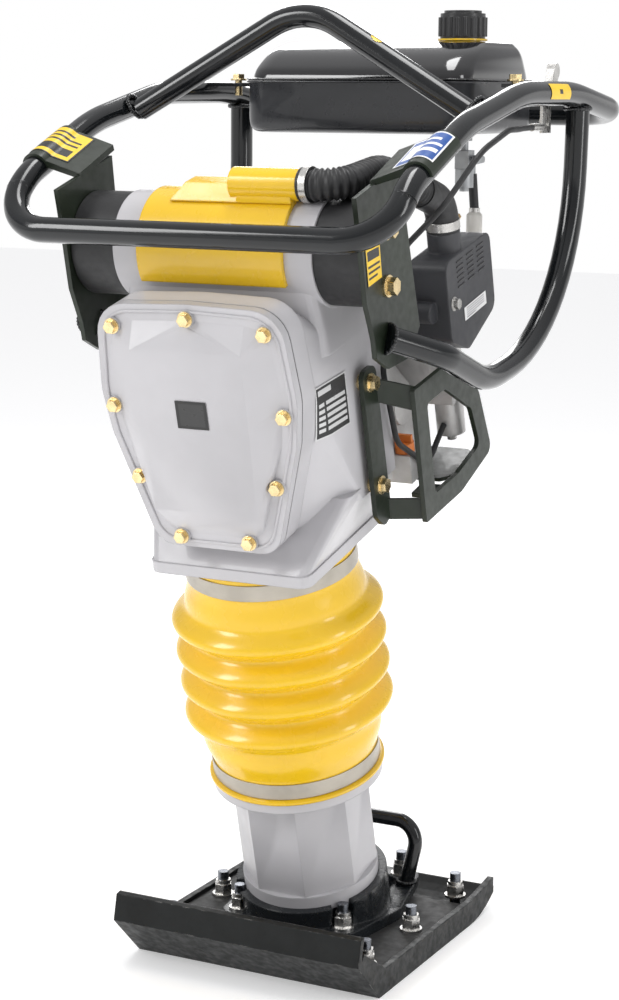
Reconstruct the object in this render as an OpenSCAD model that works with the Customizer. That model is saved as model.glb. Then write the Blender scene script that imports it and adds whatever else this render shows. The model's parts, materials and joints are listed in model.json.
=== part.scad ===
// Jumping jack rammer: a leaning tamping leg with bellows, crankcase, small engine,
// sprung handle with fuel tank, and the working parts inside.
// +Z is up, -Y is the way it walks, +X is the machine's left side.
// The origin is on the ground under the middle of the leg's foot.
// "Leg frame" means the frame that leans with the leg: x across, y rearwards, z along the leg.

/* [Overall] */
// Forward lean of the leg, degrees
lean = 14.46; // [12:0.1:16]
// Where the leg's axis meets the ground, behind the origin
leg_y = 16.5; // [10:0.5:25]

/* [Shoe] */
// Width of the tamping shoe
shoe_w = 285; // [240:1:340]
// Flat length of the sole ahead of the origin
sole_front = 127; // [120:1:150]
// Flat length of the sole behind the origin
sole_rear = 105; // [95:1:125]
// How far the turned-up nose reaches past the flat sole
nose_reach = 50; // [40:1:60]
// Height of the crease in the nose
nose_h = 49; // [40:1:60]
// Height of the upright lip above the crease
lip_h = 27; // [18:1:36]
// How far the tail reaches past the flat sole
tail_reach = 64; // [50:1:76]
// Height of the tail's lower edge
tail_h = 18; // [12:1:24]
// Height of the side skirts
skirt_h = 27.5; // [24:0.5:40]
// Thickness of the shoe's steel
shoe_t = 7; // [5:0.5:8]
// Thickness of the pad between the steel and the foot
pad_t = 16; // [10:0.5:17]

/* [Leg] */
// Bore of the spring cylinder, radius
cyl_r = 45; // [40:0.5:48]
// Wall of the spring cylinder
cyl_wall = 5; // [4:0.5:7]
// Height of the spring cylinder's top along the leg
cyl_top = 420; // [400:1:424]
// Outside radius of the cast leg tube
leg_r = 67; // [60:0.5:72]
// Outside radius of the ring at the foot of the leg tube
leg_ring_r = 73; // [70:0.5:78]
// Radius of the flange under the bellows
leg_flange_r = 90; // [88:0.5:92]
// Height of the flange's upper face along the leg
leg_flange_top = 211; // [206:1:213]

/* [Bellows] */
// Radius of the cuffs that the bellows are clamped on
cuff_r = 84; // [80:0.5:86]
// Radius of the crests
crest_r = 109.5; // [104:0.5:114]
// Radius of the roots
root_r = 94; // [92:0.5:98]
// Rubber thickness
bellows_t = 3.6; // [2.5:0.1:4.5]
// Height of the lowest crest along the leg
crest_low = 290; // [280:1:296]
// Distance between crests
crest_pitch = 35.3; // [33:0.1:37]
// Width of the clamp bands
band_w = 16.6; // [14:0.2:20]

/* [Crankcase] */
// Half width of the crankcase at its sides
case_half_w = 112; // [106:0.5:118]
// Height of the crankcase's lower face along the leg
case_low = 466; // [464:1:470]
// Half width of the lower flange
flange_half_w = 88; // [86:0.5:94]
// Distance from the leg's axis to the cover's seat
seat_f = 88; // [84:0.5:92]
// Thickness of the front cover's rim
cover_t = 10; // [8:0.5:12]
// How far the cover's raised middle stands out
cover_raise = 14; // [8:0.5:18]
// Wall of the crankcase around the front opening
case_wall = 22; // [20:0.5:24]
// Radius of the horizontal barrel on top
barrel_r = 53; // [52:0.5:58]
// Half length of the barrel
barrel_half = 108; // [104:0.5:112]
// Height of the barrel's axis along the leg
barrel_h = 776.6; // [772:0.1:784]

/* [Drive] */
// Module of the gears
gear_m = 2; // [1.9:0.01:2.01]
// Teeth on the crank gear
gear_teeth = 66; // [64:1:66]
// Teeth on the pinion
pinion_teeth = 13; // [13:1:14]
// Height of the crank gear's axis along the leg
gear_h = 655; // [650:0.5:656]
// Throw of the crank
crank_r = 30; // [24:0.5:32]
// Distance between the con rod's two eyes
rod_len = 85; // [80:0.5:92]
// Inside radius of the clutch drum
drum_r = 42.5; // [38:0.5:44]

/* [Handle] */
// Radius of the handle's tube
tube_r = 12.5; // [11:0.5:14]
// Radius of the lifting bar's tube
arch_r = 11.5; // [10:0.5:13]
// Half width of the handle between tube centres
loop_half = 207; // [190:1:225]
// Distance of the front bar ahead of the origin
loop_front = 264; // [255:1:275]
// Distance of the rear bar behind the origin
loop_rear = 342; // [320:1:380]
// Height of the front bar
loop_front_z = 771; // [765:1:775]
// Height of the rear bar
loop_rear_z = 880; // [870:1:890]
// Height of the lifting bar's top
arch_z = 990; // [975:1:1005]
// Half distance between the side plates
plate_half = 158; // [156:1:162]
// Thickness of the side plates
plate_t = 5; // [4:0.5:6]
// Radius of the rubber mounts
mount_r = 51; // [46:0.5:52]

/* [Tank] */
// Half length of the tank's rim
tank_half = 133; // [120:1:150]
// Front edge of the tank's rim behind the origin
tank_front = 72; // [68:1:90]
// Depth of the tank's rim front to rear
tank_depth = 206; // [180:1:215]
// Height of the tank's seam
tank_seam = 915; // [912:1:920]
// Height of the tank's top
tank_top = 957; // [950:1:965]
// Height of the tank's underside
tank_low = 860; // [850:1:868]

/* [Hidden] */
$fn = 64;

// colours
steel_black = [0.13, 0.14, 0.14];
cast_black = [0.09, 0.10, 0.11];
cast_grey = [0.75, 0.74, 0.76];
bright = [0.72, 0.72, 0.72];
yellow = [0.96, 0.76, 0.10];
gold = [0.80, 0.68, 0.38];
alu = [0.62, 0.62, 0.63];
plastic = [0.17, 0.17, 0.19];
rubber = [0.10, 0.10, 0.11];
gloss = [0.05, 0.05, 0.06];

fit = 0.05;          // running clearance on radius
gap = 0.5;           // clearance between parts that move past each other

// ---------- frames and small shapes ----------
module lean() translate([0, leg_y, 0]) rotate([lean, 0, 0]) children();
module ring(ro, ri, z0, z1)
    translate([0, 0, z0]) difference() {
        cylinder(r = ro, h = z1 - z0);
        translate([0, 0, -1]) cylinder(r = ri, h = z1 - z0 + 2);
    }
module ycyl(x, z, r, y0, y1, n = 64) translate([x, y0, z]) rotate([-90, 0, 0]) cylinder(r = r, h = y1 - y0, $fn = n);
module xcyl(y, z, r, x0, x1, n = 64) translate([x0, y, z]) rotate([0, 90, 0]) cylinder(r = r, h = x1 - x0, $fn = n);
module zcyl(x, y, r, z0, z1, n = 64) translate([x, y, z0]) cylinder(r = r, h = z1 - z0, $fn = n);
module block(x0, x1, y0, y1, z0, z1) translate([x0, y0, z0]) cube([x1 - x0, y1 - y0, z1 - z0]);
module both() { children(); mirror([1, 0, 0]) children(); }
// outline in x and z, made solid from y0 to y1
module slab_y(y0, y1) translate([0, y1, 0]) rotate([90, 0, 0]) linear_extrude(y1 - y0) children();
// outline in y and z, made solid from x0 to x1
module slab_x(x0, x1) translate([x0, 0, 0]) rotate([90, 0, 90]) linear_extrude(x1 - x0) children();
// hexagon head bolt pointing along +Z from its seat
module bolt_head(r, t, washer = 1.6) {
    cylinder(r = r * 1.25, h = washer);
    translate([0, 0, washer]) cylinder(r = r, h = t, $fn = 6);
}

// ---------- curves ----------
function unit(v) = v / norm(v);
// points of the fillet of radius r at corner b
function bend(a, b, c, r, n = 6) =
    let (u = unit(a - b), v = unit(c - b), ang = acos(u * v), cut = r / tan(ang / 2),
         m = unit(u + v), centre = b + m * r / sin(ang / 2), p = b + u * cut - centre,
         q = b + v * cut - centre, sweep = 180 - ang)
    [for (i = [0:n]) centre + (p * sin(sweep * (1 - i / n)) + q * sin(sweep * i / n)) / sin(sweep)];
function rounded(pts, rads, n = 6) = concat([pts[0]],
    [for (i = [1:len(pts) - 2]) each bend(pts[i - 1], pts[i], pts[i + 1], rads[i], n)],
    [pts[len(pts) - 1]]);
function rounded_ring(pts, rads, n = 6) = let (m = len(pts))
    [for (i = [0:m - 1]) each bend(pts[(i + m - 1) % m], pts[i], pts[(i + 1) % m], rads[i], n)];
// closed round tube along a path; ref is a direction the path never follows
module sweep_tube(path, r, ref, sides = 14, closed = false) {
    m = len(path);
    rings = [for (i = [0:m - 1])
        let (a = closed ? path[(i + m - 1) % m] : path[max(i - 1, 0)],
             b = closed ? path[(i + 1) % m] : path[min(i + 1, m - 1)],
             t = unit(b - a), u = unit(cross(ref, t)), v = cross(t, u))
        for (k = [0:sides - 1]) path[i] + r * (cos(360 * k / sides) * u + sin(360 * k / sides) * v)];
    last = closed ? m - 1 : m - 2;
    walls = [for (i = [0:last], k = [0:sides - 1])
        let (j = (i + 1) % m, l = (k + 1) % sides)
        [i * sides + k, i * sides + l, j * sides + l, j * sides + k]];
    ends = closed ? [] : [[for (k = [sides - 1:-1:0]) k], [for (k = [0:sides - 1]) (m - 1) * sides + k]];
    polyhedron(points = rings, faces = [for (f = concat(walls, ends)) [for (i = [len(f) - 1:-1:0]) f[i]]]);
}

// ---------- shoe and foot ----------
sole_tail = sole_rear + tail_reach;
nose_y = -(sole_front + nose_reach);
lip_set = 6;
shoe_outline = concat([[nose_y + lip_set, nose_h + lip_h], [nose_y, nose_h], [-sole_front, 0]],
    [for (i = [0:6]) [sole_rear + tail_reach * i / 6, tail_h * pow(i / 6, 2)]]);
pad_top = shoe_t + pad_t;
stud_r = 6;
foot_studs = [[46, 130], [62, -50]];
rim_studs = [[115, 124], [115, 7]];
nose_stud = [115, -104];
all_studs = concat(foot_studs, rim_studs, [nose_stud]);
foot_t = 12;
foot_ring_top = 78;

module shoe_band(t)
    let (n = len(shoe_outline))
    polygon(concat(shoe_outline, [for (i = [n - 1:-1:0]) shoe_outline[i] + (i < 2 ? [t, 1.5] : [i == 2 ? 3 : 0, t])]));
module shoe_plate() color(steel_black) difference() {
    union() {
        slab_x(-shoe_w / 2, shoe_w / 2) shoe_band(shoe_t);
        both() slab_x(shoe_w / 2 - shoe_t, shoe_w / 2) polygon(concat(
            [[nose_y + 14, nose_h + 10], [nose_y + 3, nose_h], [-sole_front, 1]],
            [for (i = [0:6]) [sole_rear + (tail_reach - 1) * i / 6, 1 + tail_h * pow(i / 6, 2)]],
            [[sole_tail - 1, skirt_h + 8], [sole_rear + 30, skirt_h + 3], [sole_rear, skirt_h],
             [-sole_front + 14, skirt_h]]));
    }
    both() for (p = all_studs) zcyl(p[0], p[1], stud_r + fit, -1, shoe_t + 5);
}
module shoe_pad() color(rubber) difference() {
    slab_x(-shoe_w / 2 + shoe_t + 0.3, shoe_w / 2 - shoe_t - 0.3)
        polygon([[-sole_front + 5, shoe_t], [-sole_front - 11, pad_top - 2], [-sole_front - 9, pad_top],
                 [sole_rear - 2, pad_top], [sole_rear - 2, shoe_t]]);
    both() for (p = all_studs) zcyl(p[0], p[1], stud_r + fit, 0, pad_top + 5);
}
stud_top = pad_top + 27;
module shoe_studs() color(cast_black) both() {
    for (p = foot_studs) zcyl(p[0], p[1], stud_r, 1, stud_top + foot_t);
    for (p = concat(rim_studs, [nose_stud])) zcyl(p[0], p[1], stud_r, 1, stud_top);
}
module stud_nut(p, z) translate([p[0], p[1], z]) difference() {
    union() {
        cylinder(r = 12, h = 2.4);
        translate([0, 0, 2.4]) cylinder(r = 10.2, h = 11, $fn = 6);
        translate([0, 0, 13.4]) cylinder(r = 8.2, h = 4.5);
    }
    translate([0, 0, -1]) cylinder(r = stud_r, h = 30);
}
module shoe_nuts() color(bright) both() {
    for (p = rim_studs) stud_nut(p, pad_top);
    stud_nut(nose_stud, pad_top);
    for (p = foot_studs) stud_nut(p, pad_top + foot_t);
}
module foot_casting() color(cast_black) difference() {
    union() {
        slab_foot();
        lean() zcyl(0, 0, leg_ring_r + 9, 20, foot_ring_top - 3);
        for (a = [[46, 130], [-46, 130], [78, 20], [-78, 20], [62, -50], [-62, -50]])
            hull() {
                translate([a[0], a[1] * 0.86, pad_top + foot_t - 1]) cylinder(r = 5, h = 2, $fn = 16);
                lean() translate([a[0] * 0.55, a[1] * 0.3, 40]) cylinder(r = 6, h = 30, $fn = 16);
            }
    }
    block(-200, 200, -200, 200, -100, pad_top);
    lean() zcyl(0, 0, leg_ring_r - 8 + fit, 34, 120);
    lean() zcyl(0, 0, leg_ring_r + fit, foot_ring_top - 8, 140);
    both() for (p = foot_studs) zcyl(p[0], p[1], stud_r + fit, 0, 60);
    both() for (p = foot_studs) zcyl(p[0], p[1], 12.3, pad_top + foot_t, 90);
    both() zcyl(64, 104, handle_rod_r + 3 + fit, pad_top + foot_t, 60);
    both() zcyl(64, 104, handle_rod_r + 0.6, pad_top + foot_t - 2.5, 60);
}
module slab_foot() translate([0, 0, pad_top]) linear_extrude(foot_t)
    polygon(rounded_ring([[62, 146], [-62, 146], [-92, 30], [-78, -68], [78, -68], [92, 30]],
                         [14, 14, 30, 20, 20, 30], 5));
handle_rod_r = 8;
foot_handle_path = rounded([[64, 104, pad_top + foot_t], [76, 114, 104], [-76, 114, 104],
                            [-64, 104, pad_top + foot_t]], [0, 24, 24, 0], 6);
module foot_handle() color(gloss) union() {
    sweep_tube(foot_handle_path, handle_rod_r, [0, 1, 0.1], 12);
    both() zcyl(64, 104, handle_rod_r + 3, pad_top + foot_t, pad_top + foot_t + 4);
}

// ---------- leg ----------
leg_bottom = foot_ring_top - 8;
cyl_ro = cyl_r + cyl_wall;
cyl_bottom = 96;
piston_t = 17;
rod_r = 14;
cap_t = 16;
wrist_h = gear_h - crank_r - rod_len;
piston_low = 238;
module leg_tube() color(cast_grey) lean() difference() {
    union() {
        zcyl(0, 0, leg_ring_r, leg_bottom, leg_bottom + 18);
        translate([0, 0, leg_bottom + 17]) rotate(22.5) cylinder(r = leg_r / cos(22.5), h = 112, $fn = 8);
        zcyl(0, 0, leg_r + 0.5, leg_flange_top - 20, leg_flange_top - 5);
        zcyl(0, 0, leg_flange_r, leg_flange_top - 10, leg_flange_top);
        zcyl(0, 0, cuff_r, leg_flange_top - 1, leg_flange_top + band_w + 9);
    }
    zcyl(0, 0, cyl_ro, cyl_bottom - 8, 400);
}
module spring_cylinder() color(bright) lean() difference() {
    zcyl(0, 0, cyl_ro, cyl_bottom - 8, cyl_top);
    zcyl(0, 0, cyl_r, cyl_bottom, cyl_top + 1);
}
module cylinder_cap() color(bright) lean() difference() {
    zcyl(0, 0, cyl_r, cyl_top - cap_t, cyl_top);
    zcyl(0, 0, rod_r + fit, cyl_top - cap_t - 1, cyl_top + 1);
}
// stacked coils of a spring between two heights
module spring(z0, z1, r, wire, turns) {
    steps = turns * 12;
    path = [for (i = [0:steps]) let (a = i * 30)
        [r * cos(a), r * sin(a), z0 + wire + (z1 - z0 - 2 * wire) * i / steps]];
    sweep_tube(path, wire, [0, 0, 1], 8);
}
spring_r = 34;
wire_r = 5;
module lower_spring() color(bright) lean() spring(cyl_bottom + gap, piston_low - gap, spring_r, wire_r, 6);
module upper_spring() color(bright) lean()
    spring(piston_low + piston_t + gap, cyl_top - cap_t - gap, spring_r, wire_r, 6);

// ---------- bellows ----------
cuff_low = leg_flange_top + 0.5;
lip_r = cuff_r + 9;
cuff_top = case_low - 1;
low_band_z = leg_flange_top + 6.4;
up_band_z = case_low - 6 - band_w;
crest_count = 4;
function smooth(t) = t * t * (3 - 2 * t);
// outer radius of the rubber at height z
function crest_z(i) = crest_low + i * crest_pitch;
bellows_line = concat(
    [[lip_r - 2, cuff_low], [lip_r, cuff_low + 2], [lip_r, low_band_z - 2], [cuff_r + bellows_t, low_band_z - 1],
     [cuff_r + bellows_t, low_band_z + band_w + 1]],
    [for (t = [1:5]) let (z0 = low_band_z + band_w + 1, z1 = crest_low - crest_pitch / 2 - 6)
        [cuff_r + bellows_t + (root_r - cuff_r - bellows_t) * smooth(t / 5) + 2 * sin(180 * t / 5),
         z0 + (z1 - z0) * t / 5]],
    [for (i = [0:crest_count - 1], t = [0:11])
        [root_r + (crest_r - root_r) * (0.5 - 0.5 * cos(360 * t / 12)),
         crest_z(i) + crest_pitch * (t - 6) / 12]],
    [for (t = [0:5]) let (z0 = crest_z(crest_count - 1) + crest_pitch / 2, z1 = up_band_z - 1)
        [root_r + (cuff_r + bellows_t - root_r) * smooth(t / 5), z0 + (z1 - z0) * t / 5]],
    [[cuff_r + bellows_t, cuff_top]]);
module bellows() color(yellow) lean() rotate_extrude()
    polygon(concat(bellows_line, [for (i = [len(bellows_line) - 1:-1:4]) bellows_line[i] - [bellows_t, 0]],
        [[cuff_r, cuff_low]]));
module band(z) {
    ring(cuff_r + bellows_t + 1.2, cuff_r + bellows_t, z, z + band_w);
    translate([0, cuff_r + bellows_t, z]) block(-9, 9, 0.5, 8, 3, band_w - 3);
}
module lower_band() color(bright) lean() band(low_band_z);
module upper_band() color(bright) lean() band(up_band_z);

// ---------- crankcase ----------
collar_d = 26;
seat = -seat_f;               // y of the gasket's front face, leg frame
gasket_t = 1.5;
rear_y = 78;                  // back face of the crankcase
wall_y = 36;                  // front of the rear wall inside
gear_cd = gear_m * (gear_teeth + pinion_teeth) / 2 + 0.15;
pinion_h = gear_h - gear_cd;
barrel_y = 10.2;
case_top = 690;
cover_bolts_at = [[0, 742], [82.3, 731.2], [92.5, 650.2], [75.6, 577], [37.6, 516.1]];
bolt_r = 3.4;
// the front outline, drawn in by d
module front_outline(d) {
    half = [[99 - d, 752 - d], [107 - d, 664], [101 - d, 620], [66 - 0.9 * d, 504 + d]];
    top = [0, 755.5 - d];
    m = len(half) - 1;
    polygon(rounded_ring(concat([top], half, [for (i = [m:-1:0]) [-half[i][0], half[i][1]]]),
        [200, 34 - d / 2, 90, 60, 26 - d / 3, 26 - d / 3, 60, 90, 34 - d / 2], 6));
}
module plan_slab(hw, y0, y1, z0, z1, r = 10) translate([0, 0, z0]) linear_extrude(z1 - z0)
    polygon(rounded_ring([[hw, y0], [hw, y1], [-hw, y1], [-hw, y0]], [r, r, r, r], 3));
case_front = seat + gasket_t;
module crankcase() color(cast_grey) lean() difference() {
    union() {
        slab_y(case_front, case_front + collar_d) front_outline(0);
        hull() {
            slab_y(case_front + collar_d - 1, case_front + collar_d) front_outline(3);
            block(-case_half_w, case_half_w, 0, 1, 526, case_top);
        }
        block(-case_half_w, case_half_w, 0.5, rear_y, 526, case_top);
        hull() {
            plan_slab(case_half_w, -30, rear_y, 536, 538);
            plan_slab(flange_half_w, -flange_half_w, flange_half_w - 4, case_low + 11, case_low + 12);
        }
        plan_slab(flange_half_w + 2, -flange_half_w - 2, flange_half_w, case_low, case_low + 12, 12);
        hull() {
            plan_slab(case_half_w, -40, rear_y, case_top - 2, case_top);
            plan_slab(barrel_half - 8, barrel_y - 44, barrel_y + 44, barrel_h - 8, barrel_h - 6);
        }
        xcyl(barrel_y, barrel_h, barrel_r, -barrel_half, barrel_half);
        zcyl(0, 0, cuff_r, case_low - band_w - 9, case_low + 1);
    }
    slab_y(case_front - 1, wall_y) front_outline(case_wall);
    zcyl(0, 0, sleeve_ro + 4, case_low + 16, 560);
    zcyl(0, 0, sleeve_ro, 400, 560);
    zcyl(0, 0, cuff_r - 8, case_low - band_w - 10, case_low - 4);
    both() for (p = cover_bolts_at) ycyl(p[0], p[1], bolt_r - 0.4, case_front - 1, case_front + 22);
    block(-76, 76, rear_y, 100, 503, 560);
    ycyl(0, gear_h, bearing_r, wall_y - 1, wall_y + 32);
    ycyl(0, pinion_h, small_bearing_r, wall_y - 1, wall_y + 12);
    ycyl(0, pinion_h, drum_r + 3.5 + 2, wall_y + 8, rear_y + 1);
    xcyl(barrel_y, barrel_h, barrel_r - 7, -barrel_half + 12, barrel_half - 12);
    block(-66, 66, barrel_y - 60, barrel_y + 12, barrel_h + 4, barrel_h + 80);
    both() xcyl(barrel_y, barrel_h, 5, barrel_half - 13, barrel_half + 1);
    both() for (p = guard_bolt_at) xcyl(p[0], p[1], 4, case_half_w - 14, case_half_w + 1);
}
module cover_gasket() color(rubber) lean() difference() {
    slab_y(seat, case_front) front_outline(0.5);
    slab_y(seat - 1, case_front + 1) front_outline(case_wall);
    both() for (p = cover_bolts_at) ycyl(p[0], p[1], bolt_r, seat - 1, case_front + 1);
}
module plateau(d, z) slab_y(seat - cover_t - cover_raise + z, seat - cover_t - cover_raise + z + 0.5)
    polygon([[60 - d, 712 - d], [60 - d, 640], [56 - d, 548 + d], [-56 + d, 548 + d], [-60 + d, 640], [-60 + d, 712 - d]]);
module front_cover() color(cast_grey) lean() difference() {
    union() {
        slab_y(seat - cover_t, seat) front_outline(0);
        hull() {
            slab_y(seat - cover_t, seat - cover_t + 1) front_outline(16);
            plateau(0, 0);
        }
        both() for (p = cover_bolts_at) ycyl(p[0], p[1], 8.5, seat - cover_t - 3, seat - 1, 32);
    }
    hull() {
        slab_y(seat - 1, seat + 1) front_outline(case_wall + 2);
        plateau(8, 6);
    }
    both() for (p = cover_bolts_at) ycyl(p[0], p[1], bolt_r, seat - 40, seat + 1);
    both() for (p = cover_bolts_at) ycyl(p[0], p[1], 8.6, seat - 60, seat - cover_t - 3, 32);
}
module case_bolts() color(gold) lean() {
    for (s = [-1, 1], p = cover_bolts_at) if (p[0] > 0 || s > 0)
        translate([s * p[0], seat - cover_t - 3, p[1]]) rotate([90, 0, 0]) {
            bolt_head(6.2, 5);
            translate([0, 0, -24]) cylinder(r = 3, h = 24.5);
        }
    for (p = guard_bolt_at) {
        translate([tab_x + guard_t, p[0], p[1]]) rotate([0, 90, 0]) bolt_head(7.5, 6);
        xcyl(p[0], p[1], 3.9, case_half_w - 12, tab_x + guard_t + 1);
        difference() {
            xcyl(p[0], p[1], 8, case_half_w, tab_x);
            xcyl(p[0], p[1], 3.9, case_half_w - 1, tab_x + 1);
        }
    }
}
sleeve_ro = 56;
sleeve_ri = cyl_ro + fit;
sleeve_low = 330;
module guide_sleeve() color(bright) lean() {
    ring(sleeve_ro, sleeve_ri, sleeve_low, case_low + 16);
    ring(sleeve_ro + 3.9, sleeve_ri, case_low + 16, case_low + 22);
}
// arc-shaped cover on the barrel from angle a0 to a1 above the forward direction
module barrel_arc(r0, r1, a0, a1, half) translate([-half, barrel_y, barrel_h]) rotate([90, 0, 90])
    linear_extrude(2 * half) polygon(concat(
        [for (i = [0:16]) let (a = 180 - a0 - (a1 - a0) * i / 16) r1 * [cos(a), sin(a)]],
        [for (i = [16:-1:0]) let (a = 180 - a0 - (a1 - a0) * i / 16) r0 * [cos(a), sin(a)]]));
cover_half = 79;
spout_z = barrel_h + 68;
spout_y = barrel_y - 12;
hose_r = 15.5;
module filter_cover() color(yellow) lean() difference() {
    union() {
        barrel_arc(barrel_r, barrel_r + 4.5, -20, 104, cover_half);
        hull() {
            block(-52, cover_half - 4, barrel_y - 26, barrel_y + 6, barrel_h + barrel_r, barrel_h + barrel_r + 1);
            block(-38, cover_half - 14, barrel_y - 16, barrel_y + 4, barrel_h + barrel_r + 15, barrel_h + barrel_r + 16);
        }
        xcyl(spout_y, spout_z, hose_r, 14, cover_half + 7);
        hull() {
            block(20, cover_half, spout_y - 14, spout_y + 14, barrel_h + barrel_r, barrel_h + barrel_r + 1);
            block(26, cover_half - 4, spout_y - 9, spout_y + 9, spout_z + 7, spout_z + 8);
        }
    }
    xcyl(barrel_y, barrel_h, barrel_r, -cover_half - 1, cover_half + 8);
    xcyl(spout_y, spout_z, 12, 24, cover_half + 9);
    block(26, 46, spout_y - 6, spout_y + 6, barrel_h + 40, spout_z);
}
module filter_element() color([0.85, 0.82, 0.7]) lean() difference() {
    xcyl(barrel_y, barrel_h - 6, 34, -72, 72);
    xcyl(barrel_y, barrel_h - 6, 20, -73, 66);
}
bearing_r = 26;
small_bearing_r = 17.5;
gear_shaft_r = 12;
hub_r = 9;
module bearings() color(bright) lean() {
    for (y = [wall_y, wall_y + 17]) difference() {
        ycyl(0, gear_h, bearing_r, y, y + 14);
        ycyl(0, gear_h, gear_shaft_r + fit, y - 1, y + 15);
    }
    difference() {
        ycyl(0, pinion_h, small_bearing_r, wall_y, wall_y + 8);
        ycyl(0, pinion_h, hub_r + fit, wall_y - 1, wall_y + 9);
    }
}
mount_gap = 1;
module rubber_mounts() color(rubber) lean() both() {
    difference() {
        xcyl(barrel_y, barrel_h, mount_r, barrel_half, plate_half - mount_gap);
        xcyl(barrel_y, barrel_h, 12, barrel_half + 20, plate_half);
    }
}
// ---------- drive ----------
pa = 25;
function inv_pt(rb, t) = rb * sqrt(1 + t * t);
function inv_ang(t) = (t * 180 / PI) - atan(t);
// gear outline: z teeth, module m, one tooth centred at angle phase
module gear_2d(m, z, phase, slack = 0.16) {
    r = m * z / 2;
    rb = r * cos(pa);
    ro = r + 0.9 * m;
    rr = r - 1.2 * m;
    half = 90 / z - slack / r * 180 / PI / 2 + inv_ang(tan(pa));
    t1 = sqrt(pow(ro / rb, 2) - 1);
    t0 = rr > rb ? sqrt(pow(rr / rb, 2) - 1) : 0;
    flank = [for (i = [0:4]) let (t = t0 + (t1 - t0) * i / 4) [inv_pt(rb, t), half - inv_ang(t)]];
    tooth = concat([[rr, flank[0][1] + 0.3]], flank);
    polygon([for (k = [0:z - 1]) each concat(
        [for (q = tooth) let (a = phase + 360 * k / z - q[1]) q[0] * [cos(a), sin(a)]],
        [for (i = [len(tooth) - 1:-1:0]) let (q = tooth[i], a = phase + 360 * k / z + q[1]) q[0] * [cos(a), sin(a)]])]);
}
gear_y = 14;
gear_w = 18;
// gear blank extruded rearwards from y0
module y_gear(h, y0, w) translate([0, y0 + w, h]) rotate([90, 0, 0]) linear_extrude(w) children();
module crank_gear() color(bright) lean() difference() {
    union() {
        y_gear(gear_h, gear_y, gear_w) gear_2d(gear_m, gear_teeth, -90);
        ycyl(0, gear_h, 17, gear_y + gear_w - 1, wall_y - gap);
        ycyl(0, gear_h, gear_shaft_r, gear_y + gear_w - 1, wall_y + 31);
    }
    for (a = [40, 90, 140]) ycyl(42 * cos(a), gear_h + 42 * sin(a), 11, gear_y - 1, gear_y + gear_w + 1);
    ycyl(0, gear_h - crank_r, 8, gear_y - 1, gear_y + 8);
}
drum_y = 46;
drum_len = 30;
module clutch_drum() color(bright) lean() difference() {
    union() {
        y_gear(pinion_h, gear_y, gear_w + 1) gear_2d(gear_m, pinion_teeth, 90 + 180 / pinion_teeth);
        ycyl(0, pinion_h, hub_r, gear_y + gear_w, drum_y + 4);
        ycyl(0, pinion_h, drum_r + 3.5, drum_y, drum_y + drum_len);
    }
    ycyl(0, pinion_h, drum_r, drum_y + 4, drum_y + drum_len + 1);
}
shaft_r = 11;
fly_y = 226;
hub_y = drum_y + 6;
module engine_shaft() color(bright) lean() {
    ycyl(0, pinion_h, 17, hub_y, hub_y + 20);
    ycyl(0, pinion_h, shaft_r, hub_y + 19, fly_y + 1);
    difference() {
        ycyl(0, pinion_h, 66, fly_y, fly_y + 12);
        for (a = [0:45:315]) ycyl(44 * cos(a), pinion_h + 44 * sin(a), 9, fly_y - 1, fly_y + 13);
    }
    for (a = [0:30:330]) translate([0, fly_y + 12, pinion_h]) rotate([0, a, 0]) block(50, 64, -0.5, 12, -1.5, 1.5);
}
shoe_travel = 1.2;
shoe_ro = drum_r - shoe_travel - 0.3;
module clutch_shoe() difference() {
    ycyl(0, pinion_h, shoe_ro, hub_y + 1, hub_y + 19);
    ycyl(0, pinion_h, 18.5, hub_y, hub_y + 20);
    block(-60, 5, hub_y, hub_y + 20, pinion_h - 60, pinion_h + 60);
}
module clutch_shoe_left() color(alu) lean() clutch_shoe();
module clutch_shoe_right() color(alu) lean() mirror([1, 0, 0]) clutch_shoe();
fork_y = 13.2;
cheek_t = 6.2;
module piston_rod() color(bright) lean() difference() {
    union() {
        zcyl(0, 0, cyl_r - fit - 0.02, piston_low, piston_low + piston_t);
        zcyl(0, 0, rod_r, piston_low + 1, wrist_h - 12);
        block(-fork_y, fork_y, -fork_y, fork_y, wrist_h - 22, wrist_h - 12);
        for (s = [-1, 1]) translate([0, s * (fork_y - cheek_t / 2), 0])
            block(-fork_y, fork_y, -cheek_t / 2, cheek_t / 2, wrist_h - 13, wrist_h + 12);
    }
    ycyl(0, wrist_h, 7, -30, 30);
}
module wrist_pin() color(bright) lean() ycyl(0, wrist_h, 7, -fork_y, fork_y);
rod_eye_r = 13;
module con_rod() color(alu) lean() difference() {
    union() {
        ycyl(0, wrist_h, 11.4, -6, 6);
        ycyl(0, wrist_h + rod_len, 20, -11, 11);
        block(-6, 6, -5.5, 5.5, wrist_h + 8, wrist_h + rod_len - 15);
    }
    ycyl(0, wrist_h, 7 + fit, -12, 12);
    ycyl(0, wrist_h + rod_len, rod_eye_r, -12, 12);
}
module crank_pin() color(bright) lean() {
    ycyl(0, wrist_h + rod_len, rod_eye_r, -12.5, 12.5);
}

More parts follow.
